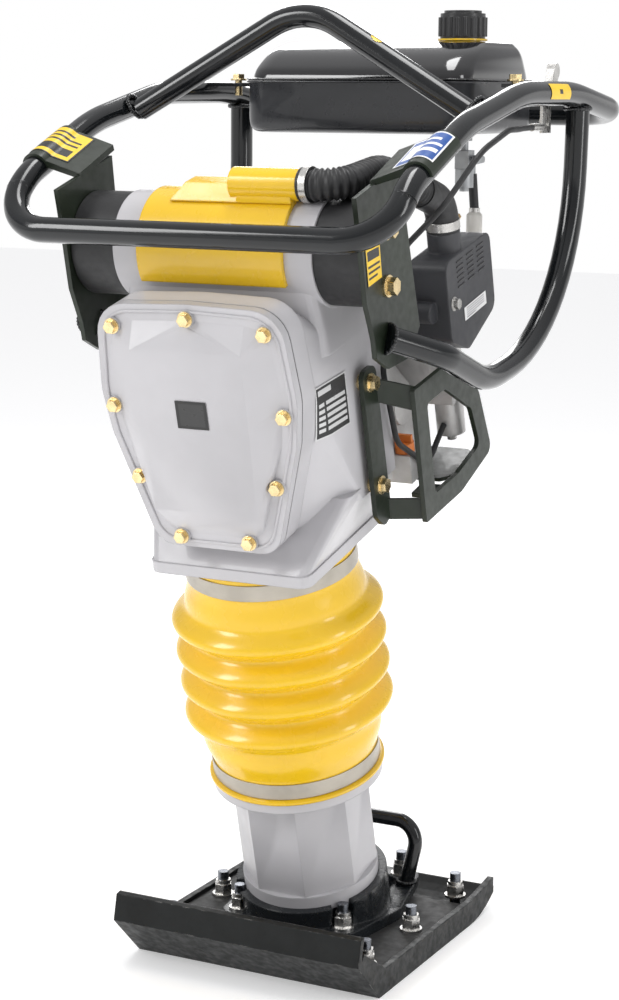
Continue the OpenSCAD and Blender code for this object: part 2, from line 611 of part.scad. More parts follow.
// ---------- engine, in the leg frame ----------
block_y0 = rear_y;
block_y1 = 196;
cyl_y = 136;
head_h = 706;
module engine_block() color(alu) lean() difference() {
    union() {
        slab_y(block_y0, block_y0 + 9) polygon(rounded_ring([[74, 505], [74, 640], [-74, 640], [-74, 505]], [16, 16, 16, 16], 4));
        plan_slab(62, block_y0 + 8, block_y1, 494, 626, 12);
        for (z = [634:9:head_h - 4]) plan_slab(46, cyl_y - 44, cyl_y + 44, z, z + 3, 12);
        zcyl(0, cyl_y, 34, 620, head_h);
        slab_y(block_y0 + 12, block_y1 - 34) polygon(rounded_ring([[40, 496], [96, 496], [96, 584], [74, 612], [40, 612]],
            [2, 12, 12, 12, 2], 4));
        xcyl(cyl_y - 4, 572, 20, 90, 101);
        block(90, 118, 100, 124, 500, 530);
        both() block(48, 66, block_y0 + 20, block_y1 - 20, 484, 496);
    }
    ycyl(0, pinion_h, shaft_r + fit, block_y0 - 1, block_y1 + 1);
    ycyl(0, pinion_h, drum_r + 6, block_y0 - 1, block_y0 + 6);
    zcyl(oil_at[0], oil_at[1], 9, 515, 531);
}
module cylinder_head() color(alu) lean() difference() {
    union() {
        for (z = [head_h:8:head_h + 18]) plan_slab(50, cyl_y - 46, cyl_y + 46, z, z + 3, 12);
        plan_slab(38, cyl_y - 36, cyl_y + 36, head_h + 2, head_h + 26, 10);
        plan_slab(42, cyl_y - 40, cyl_y + 40, head_h + 25, head_h + 29, 14);
        plan_slab(37, cyl_y - 35, cyl_y + 35, head_h + 28, head_h + 50, 12);
    }
    plug_axis() cylinder(r = 7 + fit, h = 46);
    plug_axis() translate([0, 0, 20 - gap]) cylinder(r = 10 + gap, h = 40);
}
fan_y0 = block_y1;
fan_y1 = 262;
pulley_r = 34;
rope_x = -pulley_r - 3;
outlet_y = fan_y1 + 21;
outlet_h = pinion_h + 63;
// the rope leaves straight up, so it is placed in the upright frame
rope_y = leg_y + outlet_y * cos(lean) - outlet_h * sin(lean);
rope_low = (outlet_y - 14) * sin(lean) + (pinion_h + 18) * cos(lean);
grip_z = (fan_y1 + 34) * sin(lean) + (pinion_h + 76) * cos(lean) + 9.5;
module fan_housing() color(plastic) difference() {
    lean() difference() {
        union() {
            ycyl(0, pinion_h, 84, fan_y0, fan_y1);
            block(-48, 48, fan_y0, fan_y0 + 36, pinion_h + 40, head_h + 22);
            ycyl(0, pinion_h, 66, fan_y1 - 1, fan_y1 + 34);
            block(rope_x - 14, rope_x + 14, fan_y1 + 8, fan_y1 + 34, pinion_h + 40, pinion_h + 76);
        }
        ycyl(0, pinion_h, 78, fan_y0 + 4, fan_y1 - 4);
        ycyl(0, pinion_h, 20, fan_y0 - 1, fan_y0 + 8);
        block(-44, 44, fan_y0 + 4, fan_y0 + 32, pinion_h + 60, head_h + 18);
        block(-44, 44, fan_y0 - 1, fan_y0 + 10, head_h - 70, head_h + 14);
        ycyl(0, pinion_h, 58, fan_y1 - 8, fan_y1 + 26);
        ycyl(0, pinion_h, 6, fan_y1, fan_y1 + 40);
        for (a = [0:30:330]) ycyl(44 * cos(a), pinion_h + 44 * sin(a), 5.5, fan_y1 + 20, fan_y1 + 40, 24);
    }
    zcyl(rope_x, rope_y, 4, rope_low - 2, grip_z + 10);
}
module starter_pulley() color(plastic) lean() difference() {
    union() {
        ycyl(0, pinion_h, 40, fan_y1 - 1, fan_y1 + 4);
        ycyl(0, pinion_h, pulley_r, fan_y1 + 3, fan_y1 + 20);
        ycyl(0, pinion_h, 40, fan_y1 + 19, fan_y1 + 24);
        ycyl(0, pinion_h, 6 - fit, fan_y1 + 20, fan_y1 + 36);
    }
    ycyl(0, pinion_h, 12, fan_y1 - 5, fan_y1 + 12);
}
module starter_grip() color(rubber) difference() {
    hull() for (s = [-1, 1]) translate([rope_x + s * 24, rope_y, grip_z]) sphere(r = 8, $fn = 24);
    zcyl(rope_x, rope_y, 2.5, grip_z - 9, grip_z);
}
module starter_rope() color(bright) zcyl(rope_x, rope_y, 2.2, rope_low, grip_z - 1);
module muffler() color(steel_black) lean() difference() {
    union() {
        translate([-126, 0, 0]) hull() for (y = [120, 190], z = [630, 690])
            translate([0, y, z]) rotate([0, 90, 0]) cylinder(r = 18, h = 50, $fn = 32);
        xcyl(cyl_y, 688, 11, -78, -46);
        xcyl(196, 640, 8, -140, -118);
        block(-130, -126, 108, 202, 618, 702);
        for (z = [640, 660, 680]) block(-127, -120, 125, 135, z - 4, z + 4);
    }
    for (y = [124:12:190], z = [632, 656, 680]) xcyl(y, z, 4, -132, -125.5, 20);
}
carb_y = 200;
choke_x = 92;
bowl_x = 122;
choke_h = 636;
module carburettor() color(alu) lean() difference() {
    union() {
        xcyl(carb_y - 10, 672, 12, 46, 74);
        block(72, 112, carb_y - 22, carb_y + 16, 572, 694);
        block(90, 134, carb_y - 20, carb_y + 12, 556, 612);
        zcyl(bowl_x, carb_y - 4, 15, 520, 557);
        zcyl(bowl_x, carb_y - 4, 5, 512, 521);
        ycyl(100, 650, 4, carb_y + 15, carb_y + 19.8, 24);
    }
    ycyl(choke_x, choke_h, 3.5 + fit, carb_y + 6, carb_y + 17);
    ycyl(0, pinion_h, 84, fan_y0, fan_y1 + 1);
    block(-48, 48, fan_y0, fan_y1, pinion_h, head_h + 22);
}
module choke_lever() color(bright) lean() {
    ycyl(choke_x, choke_h, 3.5, carb_y + 7, carb_y + 24);
    hull() {
        ycyl(choke_x, choke_h, 6, carb_y + 22, carb_y + 25, 24);
        ycyl(choke_x + 26, choke_h - 24, 5, carb_y + 22, carb_y + 25, 24);
    }
}
module plug_axis() translate([0, cyl_y - 40, head_h + 14]) rotate([30, 0, 0]) children();
module spark_plug() color(rubber) lean() plug_axis() {
    cylinder(r = 7, h = 26);
    translate([0, 0, 20]) cylinder(r = 10, h = 26);
}
box_x0 = 115;
box_x1 = 156;
module air_box() color(plastic) lean() difference() {
    union() {
        slab_x(box_x0, box_x1) polygon(rounded_ring([[145, 722], [259, 722], [259, 640], [184, 618], [145, 640]],
            [12, 12, 14, 14, 10], 4));
        zcyl(136, 190, 17, 720, 742);
        xcyl(138, 672, 11, 116, 142);
        xcyl(258, 690, 7, 128, 142);
    }
    slab_x(box_x0 + 3.5, box_x1 - 3.5) polygon([[150, 717], [254, 717], [254, 644], [184, 624], [150, 645]]);
    zcyl(136, 190, 13, 710, 743);
    xcyl(carb_y - 10, 672, 11, box_x0 - 1, box_x0 + 5);
}
// intake hose from the filter cover round to the elbow on the air box
hose_path = rounded([[cover_half + 7, spout_y, spout_z], [126, spout_y, spout_z],
    [132, 70, spout_z - 6], [136, 190, 772], [136, 190, 742]], [0, 28, 60, 30, 0], 5);
module intake_hose() color(rubber) lean() difference() {
    sweep_tube(hose_path, hose_r, [0.8, -0.3, 1], 16);
    sweep_tube([for (i = [0:len(hose_path) - 1]) i == 0 ? hose_path[0] - [1, 0, 0] :
        i == len(hose_path) - 1 ? hose_path[i] - [0, 0, 1] : hose_path[i]], 12, [0.8, -0.3, 1], 12);
}
oil_at = [107.5, 112];
module oil_cap() color([0.85, 0.35, 0.12]) lean() {
    zcyl(oil_at[0], oil_at[1], 9 - fit, 518, 531);
    zcyl(oil_at[0], oil_at[1], 10, 530 + gap, 541);
    translate([oil_at[0], oil_at[1], 541]) block(-9, 9, -2, 2, -1, 8);
}

// ---------- engine guard ----------
guard_t = 5;
guard_x = 160;
guard_bolt_at = [[21, 641], [21, 533]];
tab_x = case_half_w + 6;
module under_plate() color(steel_black) lean() translate([0, 0, 492]) linear_extrude(4)
    polygon(rounded_ring([[66, 128], [136, 128], [146, 140], [146, 196], [134, 208], [66, 208]], [2, 6, 8, 10, 10, 2], 4));
module engine_guard() color(steel_black) lean() difference() {
    union() {
        slab_x(tab_x, tab_x + guard_t) polygon(rounded_ring([[6, 656], [36, 656], [38, 494], [20, 488], [6, 504]],
            [10, 10, 6, 10, 8], 4));
        // splayed part between the tab and the outer plate
        hull() {
            block(tab_x, tab_x + guard_t, 34, 36, 616, 640);
            block(guard_x - guard_t, guard_x, 50, 52, 602, 627);
        }
        hull() {
            block(tab_x, tab_x + guard_t, 34, 36, 490, 512);
            block(guard_x - guard_t, guard_x, 50, 52, 487, 509);
        }
        slab_x(guard_x - guard_t, guard_x) difference() {
            polygon(rounded_ring([[40, 628], [112, 626], [190, 572], [210, 498], [128, 484], [40, 487]], [2, 10, 16, 10, 10, 2], 4));
            polygon(rounded_ring([[66, 604], [110, 603], [168, 560], [182, 514], [124, 506], [66, 508]], [5, 8, 12, 8, 5, 5], 4));
        }
        block(tab_x, guard_x - 1, 96, 122, 487, 492);
    }
    for (p = guard_bolt_at) xcyl(p[0], p[1], 4.2, tab_x - 1, tab_x + guard_t + 1);
}

// ---------- handle ----------
bend_low = [-222, 819];      // y and z of the bend behind the front bar
bend_high = [-100, 872];     // y and z of the next bend up
loop_right = [[loop_half, -loop_front, loop_front_z], [loop_half, bend_low[0], bend_low[1]],
              [loop_half, bend_high[0], bend_high[1]], [loop_half, 40, 902], [loop_half, 180, 903], [loop_half, loop_rear, loop_rear_z]];
loop_rads = [50, 80, 240, 300, 400, 60];
loop_path = rounded_ring(concat(loop_right, [for (i = [5:-1:0]) [-loop_right[i][0], loop_right[i][1], loop_right[i][2]]]),
    concat(loop_rads, [for (i = [5:-1:0]) loop_rads[i]]), 6);
module handle_loop() color(gloss) sweep_tube(loop_path, tube_r, [0, 0.25, -1], 16, true);
arch_foot = loop_half - 21;
arch_path = rounded([[arch_foot, -40, 884], [0, -26, arch_z - 1], [-arch_foot, -40, 884]], [0, 75, 0], 10);
module lifting_bar() color(gloss) sweep_tube(arch_path, arch_r, [0, 1, 0], 16);
guard_path = rounded([[plate_half + plate_t, -172, 676], [198, -118, 656], [200, -20, 621], [loop_half - 6, 203, 652],
    [loop_half - 3, 209, loop_rear_z + 10]], [0, 50, 120, 205, 0], 8);
module guard_tubes() color(gloss) both() sweep_tube(guard_path, tube_r, [1, -1, 0], 16);
plate_outline = [[-239, 808], [-226, 759], [-215, 711], [-197, 676], [-192, 658], [-165, 646], [-120, 652], [-97, 681],
    [-112, 725], [-132, 786], [-136, 806], [-141, 839]];
wrap_lean = atan2(bend_high[1] - bend_low[1], bend_high[0] - bend_low[0]);
wrap_y = -172;
wrap_at = [loop_half, wrap_y, bend_low[1] + (wrap_y - bend_low[0]) * tan(wrap_lean)];
wrap_len = 34;
wrap_t = 3;
plate_bolt_y = [-178, -172];
plate_bolt_z = [778, 724.6];
module side_plates() color(steel_black) both() {
    difference() {
        slab_x(plate_half, plate_half + plate_t) polygon(plate_outline);
        for (i = [0, 1]) xcyl(plate_bolt_y[i], plate_bolt_z[i], 5, plate_half - 1, plate_half + plate_t + 1);
    }
    translate(wrap_at) rotate([wrap_lean, 0, 0]) {
        difference() {
            ycyl(0, 0, tube_r + wrap_t, -wrap_len, wrap_len);
            ycyl(0, 0, tube_r, -wrap_len - 1, wrap_len + 1);
            block(-30, 30, -50, 50, -30, 0);
        }
        slab_y(-wrap_len, wrap_len) polygon([[-tube_r - wrap_t + 0.4, 0], [-tube_r, tube_r - 4],
            [plate_half - loop_half, -5], [plate_half - loop_half, -11]]);
    }
}
module plate_bolts() color(gold) both() for (i = [0, 1]) {
    translate([plate_half + plate_t, plate_bolt_y[i], plate_bolt_z[i]]) rotate([0, 90, 0]) bolt_head(8.5, 8, 2.6);
    xcyl(plate_bolt_y[i], plate_bolt_z[i], 4.9, plate_half - 0.5, plate_half + plate_t + 1);
    if (i == 0) translate([ear_x, ear_y, tank_seam]) {
        bolt_head(7, 5, 2);
        translate([0, 0, -16]) cylinder(r = 3.9, h = 16.5);
    }
}

// ---------- tank ----------
tank_wall = 3;
seam_r = 28;
// one level of the tank, drawn in from the rim at the sides, front and rear
module tank_layer(side, front, rear, z0, z1, r) translate([0, 0, z0]) linear_extrude(z1 - z0)
    polygon(rounded_ring([[tank_half - side, tank_front + front], [tank_half - side, tank_front + tank_depth - rear],
        [side - tank_half, tank_front + tank_depth - rear], [side - tank_half, tank_front + front]], [r, r, r, r], 6));
dome = tank_top - tank_seam;
module tank_dome(d) hull() {
    tank_layer(5 + d, 5 + d, 5 + d, tank_seam, tank_seam + 1, seam_r - d);
    tank_layer(7 + d, 12 + d, 7 + d, tank_seam + 0.33 * dome, tank_seam + 0.33 * dome + 1, seam_r - d);
    tank_layer(10 + d, 34 + d, 11 + d, tank_seam + 0.66 * dome - d, tank_seam + 0.66 * dome + 1 - d, seam_r - d);
    tank_layer(13 + d, 56 + d, 18 + d, tank_top - 5 - d, tank_top - 4 - d, seam_r - d);
    tank_layer(20 + d, 76 + d, 30 + d, tank_top - 1 - d, tank_top - d, seam_r - 4 - d);
}
cap_x = 82;
cap_y = 180;
neck_r = 19;
rim_t = 2.5;
module tank_upper() color(gloss) difference() {
    union() {
        tank_dome(0);
        tank_layer(0, 0, 0, tank_seam, tank_seam + rim_t, seam_r);
        zcyl(cap_x, cap_y, neck_r, tank_top - 8, tank_top + 10);
    }
    translate([0, 0, -0.5]) tank_dome(tank_wall);
    zcyl(cap_x, cap_y, neck_r - 3, tank_top - 12, tank_top + 12);
    tank_layer(8, 8, 8, tank_seam - 1, tank_seam + 2, seam_r - 8);
}
module tank_bowl(d) hull() {
    tank_layer(2 + d, 2 + d, 2 + d, tank_low + 12 + d / 2, tank_seam - 1 + d, seam_r - d);
    tank_layer(5 + d, 5 + d, 5 + d, tank_low + 3.5 + d, tank_low + 4.5 + d, seam_r - 3 - d);
    tank_layer(13 + d, 13 + d, 13 + d, tank_low + d, tank_low + 1 + d, seam_r - 8 - d);
}
module tank_lower() color(steel_black) difference() {
    union() {
        tank_bowl(0);
        tank_layer(0, 0, 0, tank_seam - rim_t, tank_seam, seam_r);
        both() block(tank_half - 4, ear_x + 11, ear_y - 11, ear_y + 11, tank_seam - rim_t, tank_seam);
    }
    tank_bowl(tank_wall);
    zcyl(valve_x, valve_y, 4, tank_low - 1, tank_low + 5);
    both() zcyl(ear_x, ear_y, 4, tank_seam - 20, tank_seam + 1);
}
ear_x = 164;
ear_y = 130;
module tank_brackets() color(gloss) {
    both() difference() {
        block(ear_x - 11, loop_half - tube_r + 3, ear_y - 11, ear_y + 11, tank_seam - rim_t - 4, tank_seam - rim_t);
        zcyl(ear_x, ear_y, 4, tank_seam - 20, tank_seam);
    }
    block(-25, 25, tank_front + tank_depth - 2, loop_rear - 5, loop_rear_z + 10, loop_rear_z + 13);
}
cap_low = tank_top + 3;
module cap_ring() color(yellow) ring_at(cap_x, cap_y, 26.5, neck_r + 0.5, tank_top + 0.4, cap_low - 0.4);
module ring_at(x, y, ro, ri, z0, z1) translate([x, y, 0]) ring(ro, ri, z0, z1);
module fuel_cap() color(gloss) difference() {
    union() {
        zcyl(cap_x, cap_y, 24, cap_low, cap_low + 26);
        zcyl(cap_x, cap_y, 20, cap_low + 25, cap_low + 29);
        for (a = [0:20:340]) translate([cap_x, cap_y, cap_low + 2]) rotate(a) translate([23.6, 0, 0]) cylinder(r = 2.6, h = 20, $fn = 16);
    }
    zcyl(cap_x, cap_y, neck_r + gap, cap_low - 1, cap_low + 20);
}
valve_x = 84;
valve_y = 186;
valve_pivot = tank_low - 28;
valve_bowl_r = 10;
outlet_reach = 22;
module fuel_valve() color(bright) difference() {
    union() {
        zcyl(valve_x, valve_y, 4, tank_low - 20, tank_low + 4);
        zcyl(valve_x, valve_y, 8, tank_low - 8, tank_low);
        block(valve_x - 8, valve_x + 8, valve_y - 8, valve_y + 8, tank_low - 38, tank_low - 18);
        zcyl(valve_x, valve_y, valve_bowl_r, tank_low - 58, tank_low - 38);
        zcyl(valve_x, valve_y, 5, tank_low - 62, tank_low - 57);
        ycyl(valve_x, valve_pivot - 4, 3.5, valve_y + 7, valve_y + outlet_reach + 3.5);
        zcyl(valve_x, valve_y + outlet_reach, 3.5, valve_pivot - 16, valve_pivot - 4);
    }
    xcyl(valve_y, valve_pivot, 3 + fit, valve_x, valve_x + 10);
}
lever_x = valve_x + valve_bowl_r + 1;
module valve_lever() color(bright) {
    xcyl(valve_y, valve_pivot, 3, valve_x + 1, lever_x + 1);
    hull() {
        xcyl(valve_y, valve_pivot, 5, lever_x, lever_x + 3, 24);
        xcyl(valve_y + 20, valve_pivot, 3.5, lever_x, lever_x + 3, 24);
    }
}
throttle_x = 183;
throttle_y = 165;
throttle_z = 872;
pin_r = 3;
bracket_x = throttle_x + 2;
module throttle_bracket() color(steel_black) difference() {
    union() {
        slab_x(bracket_x, bracket_x + 3) polygon([[148, 862], [172, 862], [172, 906], [148, 906]]);
        block(bracket_x, loop_half - tube_r + 1, 148, 172, 899, 906);
        ycyl(bracket_x + 1.5, throttle_z - 4, 4, 122, 148.5);
    }
    xcyl(throttle_y, throttle_z, pin_r + fit, bracket_x - 1, bracket_x + 4);
}
module throttle_lever() color(bright) {
    xcyl(throttle_y, throttle_z, pin_r, throttle_x - 2, bracket_x + 4);
    hull() {
        xcyl(throttle_y, throttle_z, 9, throttle_x - 2, throttle_x + 1, 24);
        xcyl(throttle_y + 16, throttle_z + 34, 5, throttle_x - 2, throttle_x + 1, 24);
    }
    hull() {
        xcyl(throttle_y + 18, throttle_z + 40, 6, throttle_x - 4, throttle_x + 3, 24);
        xcyl(throttle_y + 24, throttle_z + 54, 8, throttle_x - 5, throttle_x + 4, 24);
    }
}
cable_path = rounded([[bracket_x + 1.5, 122, throttle_z - 4], [bracket_x + 2, 60, 866], [bracket_x + 2, -10, 846],
    [168, -60, 792], [128, -62, 752], [117, -84, 636], [118, -50, 557],
    [124, 12, 526], [122, 56.4, 562]], [0, 60, 60, 30, 30, 40, 30, 30, 0], 5);
// fuel line from the valve through the filter to the carburettor
line_top = [valve_x, valve_y + outlet_reach, valve_pivot - 16];
filter_top = [valve_x + 2, valve_y + outlet_reach + 3, 776];
filter_len = 36;
carb_end = [100, 68, 684.4];
module cables_hoses() color(rubber) {
    sweep_tube(cable_path, 3, [0.1, 0.1, 1], 8);
    sweep_tube([line_top, filter_top], 5, [1, 0, 0], 10);
    zcyl(filter_top[0], filter_top[1], 9, filter_top[2] - filter_len, filter_top[2], 32);
    sweep_tube(rounded([filter_top - [0, 0, filter_len], filter_top - [0, 0, filter_len + 30], [98, 140, 692], carb_end],
        [0, 32, 36, 0], 5), 4, [1, 0, 0], 10);
}

shoe_plate();
shoe_pad();
shoe_studs();
shoe_nuts();
foot_casting();
foot_handle();
leg_tube();
spring_cylinder();
cylinder_cap();
lower_spring();
upper_spring();
lower_band();
bellows();
upper_band();
crankcase();
cover_gasket();
front_cover();
case_bolts();
filter_cover();
filter_element();
union() {
    guide_sleeve();
    bearings();
}
rubber_mounts();
crank_gear();
clutch_drum();
engine_shaft();
clutch_shoe_left();
clutch_shoe_right();
piston_rod();
wrist_pin();
con_rod();
crank_pin();
engine_block();
cylinder_head();
fan_housing();
starter_pulley();
starter_grip();
starter_rope();
muffler();
carburettor();
choke_lever();
spark_plug();
air_box();
intake_hose();
oil_cap();
union() {
    engine_guard();
    under_plate();
}
handle_loop();
lifting_bar();
guard_tubes();
side_plates();
plate_bolts();
tank_brackets();
tank_lower();
tank_upper();
cap_ring();
fuel_cap();
fuel_valve();
valve_lever();
throttle_bracket();
throttle_lever();
cables_hoses();
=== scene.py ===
# %% [markdown]
# # Dressing a jumping jack rammer
# The machine arrives as a packed set of exact solids, one per real part. This lesson keeps those solids
# as the frame, gives every one a real finish, and rebuilds the parts whose shape is too fine for plain
# solids: bent tubes, bellows, hoses, the pressed tank, weld beads and labels.

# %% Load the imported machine
import json
import math

import bpy
import bmesh
from mathutils import Matrix, Vector
from mathutils.bvhtree import BVHTree


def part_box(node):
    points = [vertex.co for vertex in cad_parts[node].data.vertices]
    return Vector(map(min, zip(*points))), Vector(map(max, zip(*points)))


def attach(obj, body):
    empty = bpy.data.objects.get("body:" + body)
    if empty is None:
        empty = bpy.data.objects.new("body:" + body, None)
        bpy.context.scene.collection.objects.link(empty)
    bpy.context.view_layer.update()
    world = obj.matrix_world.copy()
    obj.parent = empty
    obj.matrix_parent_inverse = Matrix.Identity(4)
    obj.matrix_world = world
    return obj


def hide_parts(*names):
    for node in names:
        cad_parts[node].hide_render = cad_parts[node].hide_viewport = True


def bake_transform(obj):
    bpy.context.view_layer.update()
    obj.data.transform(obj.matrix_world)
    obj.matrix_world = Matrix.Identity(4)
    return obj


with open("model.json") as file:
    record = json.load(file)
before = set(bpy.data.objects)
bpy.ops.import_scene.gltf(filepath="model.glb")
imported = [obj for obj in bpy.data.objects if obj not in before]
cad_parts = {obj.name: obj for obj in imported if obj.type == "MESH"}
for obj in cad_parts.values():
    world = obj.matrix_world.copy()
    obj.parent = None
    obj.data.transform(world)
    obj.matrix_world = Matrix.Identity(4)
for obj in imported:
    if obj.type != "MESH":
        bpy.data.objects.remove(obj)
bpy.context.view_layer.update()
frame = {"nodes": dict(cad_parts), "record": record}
solids = frame["nodes"]

# %% [markdown]
# ## Two ways to say where a thing is
# The leg leans forward, and the crankcase and engine lean with it. Measuring those parts along the leg is
# far easier than in upright axes, so one helper turns "across, back, up the leg" into a real point.

# %% Points in the upright frame and in the leaning frame
LEAN = math.radians(14.46)
LEG_FOOT = 16.5


def at(x, y, z):
    return Vector((x, y, z)) * 0.001


def leg(x, back, up):
    y = LEG_FOOT + back * math.cos(LEAN) - up * math.sin(LEAN)
    z = back * math.sin(LEAN) + up * math.cos(LEAN)
    return at(x, y, z)


UP_LEG = (leg(0, 0, 1) - leg(0, 0, 0)).normalized()
BACK = (leg(0, 1, 0) - leg(0, 0, 0)).normalized()
print("up the leg:", [round(v, 3) for v in UP_LEG])

# %% [markdown]
# ## Camera
# A long lens a little above the machine and round to its left keeps the uprights nearly parallel. The
# camera's axes are built from an azimuth, an elevation and a trace of roll, then stacked into its matrix.

# %% Camera
CAMERA_PLACE = (1.0629, -2.0694, 0.8992)
CAMERA_LENS = 80.85
azimuth, elevation, roll = (math.radians(v) for v in (27.32, 10.21, 0.32))
level = math.cos(elevation)
backward = Vector((math.sin(azimuth) * level, -math.cos(azimuth) * level, math.sin(elevation)))
rightward = Vector((math.cos(azimuth), math.sin(azimuth), 0))
upward = backward.cross(rightward)
tilted_right = math.cos(roll) * rightward + math.sin(roll) * upward
tilted_up = math.cos(roll) * upward - math.sin(roll) * rightward
camera = bpy.data.objects.new("camera", bpy.data.cameras.new("camera"))
bpy.context.scene.collection.objects.link(camera)
camera.data.lens = CAMERA_LENS
camera.data.sensor_width = 36
turned_to = Matrix((tilted_right, tilted_up, backward)).transposed().to_4x4()
camera.matrix_world = Matrix.Translation(CAMERA_PLACE) @ turned_to
bpy.context.scene.camera = camera
print("camera height:", round(camera.matrix_world.translation.z, 3))

# %% [markdown]
# ## Studio
# Black gloss only reads as black gloss when it has something to mirror: a few large soft boxes against a
# calmer room. The floor is a wide flat sheet, a little brighter than its light, so its far edge melts into
# the room's pale lower band.

# %% Floor and backdrop
def smooth_mesh(name, bm, smooth=True):
    mesh = bpy.data.meshes.new(name)
    bm.to_mesh(mesh)
    bm.free()
    for p in mesh.polygons:
        p.use_smooth = smooth
    return mesh


FLOOR_REACH = 9


def studio_floor():
    bm = bmesh.new()
    corners = ((-1, -1), (1, -1), (1, 1), (-1, 1))
    bm.faces.new([bm.verts.new((FLOOR_REACH * x, FLOOR_REACH * y, 0)) for x, y in corners])
    floor = bpy.data.objects.new("studio_floor", smooth_mesh("studio_floor", bm, False))
    bpy.context.scene.collection.objects.link(floor)
    paper = bpy.data.materials.new("studio paper")
    paper.use_nodes = True
    sheet = paper.node_tree.nodes["Principled BSDF"].inputs
    sheet["Base Color"].default_value = (0.93, 0.93, 0.93, 1)
    sheet["Roughness"].default_value = 0.9
    sheet["Emission Color"].default_value = (1, 1, 1, 1)
    sheet["Emission Strength"].default_value = 0.27
    floor.data.materials.append(paper)


studio_floor()

# %% Soft boxes
LIT_POINT = Vector((0, 0, 0.55))


def soft_box(name, place, size, power):
    lamp = bpy.data.lights.new(name, "AREA")
    lamp.shape = "RECTANGLE"
    lamp.size, lamp.size_y = size
    lamp.energy = power
    ob = bpy.data.objects.new(name, lamp)
    bpy.context.scene.collection.objects.link(ob)
    ob.location = place
    ob.rotation_euler = (LIT_POINT - Vector(place)).to_track_quat("-Z", "Y").to_euler()


soft_box("key_box", (-1.9, -2.4, 2.2), (0.9, 1.6), 46)
soft_box("side_box", (2.9, -0.2, 1.6), (0.6, 1.8), 22)
soft_box("top_box", (0.2, 0.1, 3.0), (1.6, 0.7), 30)
soft_box("rear_box", (-1.2, 2.6, 1.9), (1.0, 1.4), 26)
world = bpy.data.worlds.new("studio room")
bpy.context.scene.world = world
world.use_nodes = True
sky = world.node_tree
height = sky.nodes.new("ShaderNodeSeparateXYZ")
sky.links.new(sky.nodes.new("ShaderNodeTexCoord").outputs["Generated"], height.inputs[0])
fade = sky.nodes.new("ShaderNodeValToRGB")
sky.links.new(height.outputs["Z"], fade.inputs[0])
pale, grey = fade.color_ramp.elements
pale.position, pale.color = 0.12, (1, 1, 1, 1)
grey.position, grey.color = 0.2, (0.42, 0.42, 0.43, 1)
fade.color_ramp.elements.new(0.9).color = (0.8, 0.8, 0.81, 1)
sky.links.new(fade.outputs[0], sky.nodes["Background"].inputs["Color"])
sky.nodes["Background"].inputs["Strength"].default_value = 1.0
bpy.context.scene.view_settings.view_transform = "Standard"

# %% [markdown]
# ## One recipe for hard finishes
# Paint, plating, castings and moulded plastic differ in a handful of numbers: how much the colour drifts,
# how coarse the skin is, how shiny, and what shows where an edge has rubbed. One function takes those
# numbers. The Bevel node rounds every edge in the shading, and the same node compared with the true
# normal finds the edges for wear. Patterns read Object coordinates, so they stay fixed to the metal.

# %% Shader helpers
def shader(name):
    mat = bpy.data.materials.new(name)
    mat.use_nodes = True
    return mat, mat.node_tree, mat.node_tree.nodes["Principled BSDF"]


def add(tree, kind, inputs=(), **settings):
    n = tree.nodes.new(kind)
    for key, value in settings.items():
        setattr(n, key, value)
    for key, value in dict(inputs).items():
        if isinstance(value, bpy.types.NodeSocket):
            tree.links.new(value, n.inputs[key])
        else:
            n.inputs[key].default_value = value
    return n


def grain(tree, scale, detail=3.0, stretch=(1, 1, 1)):
    where = add(tree, "ShaderNodeTexCoord").outputs["Object"]
    mapped = add(tree, "ShaderNodeMapping", {"Vector": where, "Scale": stretch}).outputs["Vector"]
    return add(tree, "ShaderNodeTexNoise", {"Vector": mapped, "Scale": scale,
            "Detail": detail}).outputs["Fac"]


def ramp(tree, value, *stops):
    n = add(tree, "ShaderNodeValToRGB", {"Fac": value})
    n.color_ramp.elements[0].position, n.color_ramp.elements[0].color = stops[0][0], (*stops[0][1], 1)
    n.color_ramp.elements[1].position, n.color_ramp.elements[1].color = stops[-1][0], (*stops[-1][1], 1)
    for position, colour in stops[1:-1]:
        n.color_ramp.elements.new(position).color = (*colour, 1)
    return n.outputs["Color"]


def between(tree, value, low, high, from_low=0.3, from_high=0.7):
    return add(tree, "ShaderNodeMapRange", {"Value": value, "From Min": from_low, "From Max": from_high,
                                            "To Min": low, "To Max": high}).outputs["Result"]


def calc(tree, how, a, b=0.0):
    return add(tree, "ShaderNodeMath", {0: a, 1: b}, operation=how).outputs["Value"]


def rubbed_edges(tree, radius):
    rounded = add(tree, "ShaderNodeBevel", {"Radius": radius}, samples=4).outputs["Normal"]
    true = add(tree, "ShaderNodeNewGeometry").outputs["Normal"]
    turned = add(tree, "ShaderNodeVectorMath", {0: rounded, 1: true},
                 operation="DOT_PRODUCT").outputs["Value"]
    return between(tree, turned, 1.0, 0.0, 0.82, 0.985)


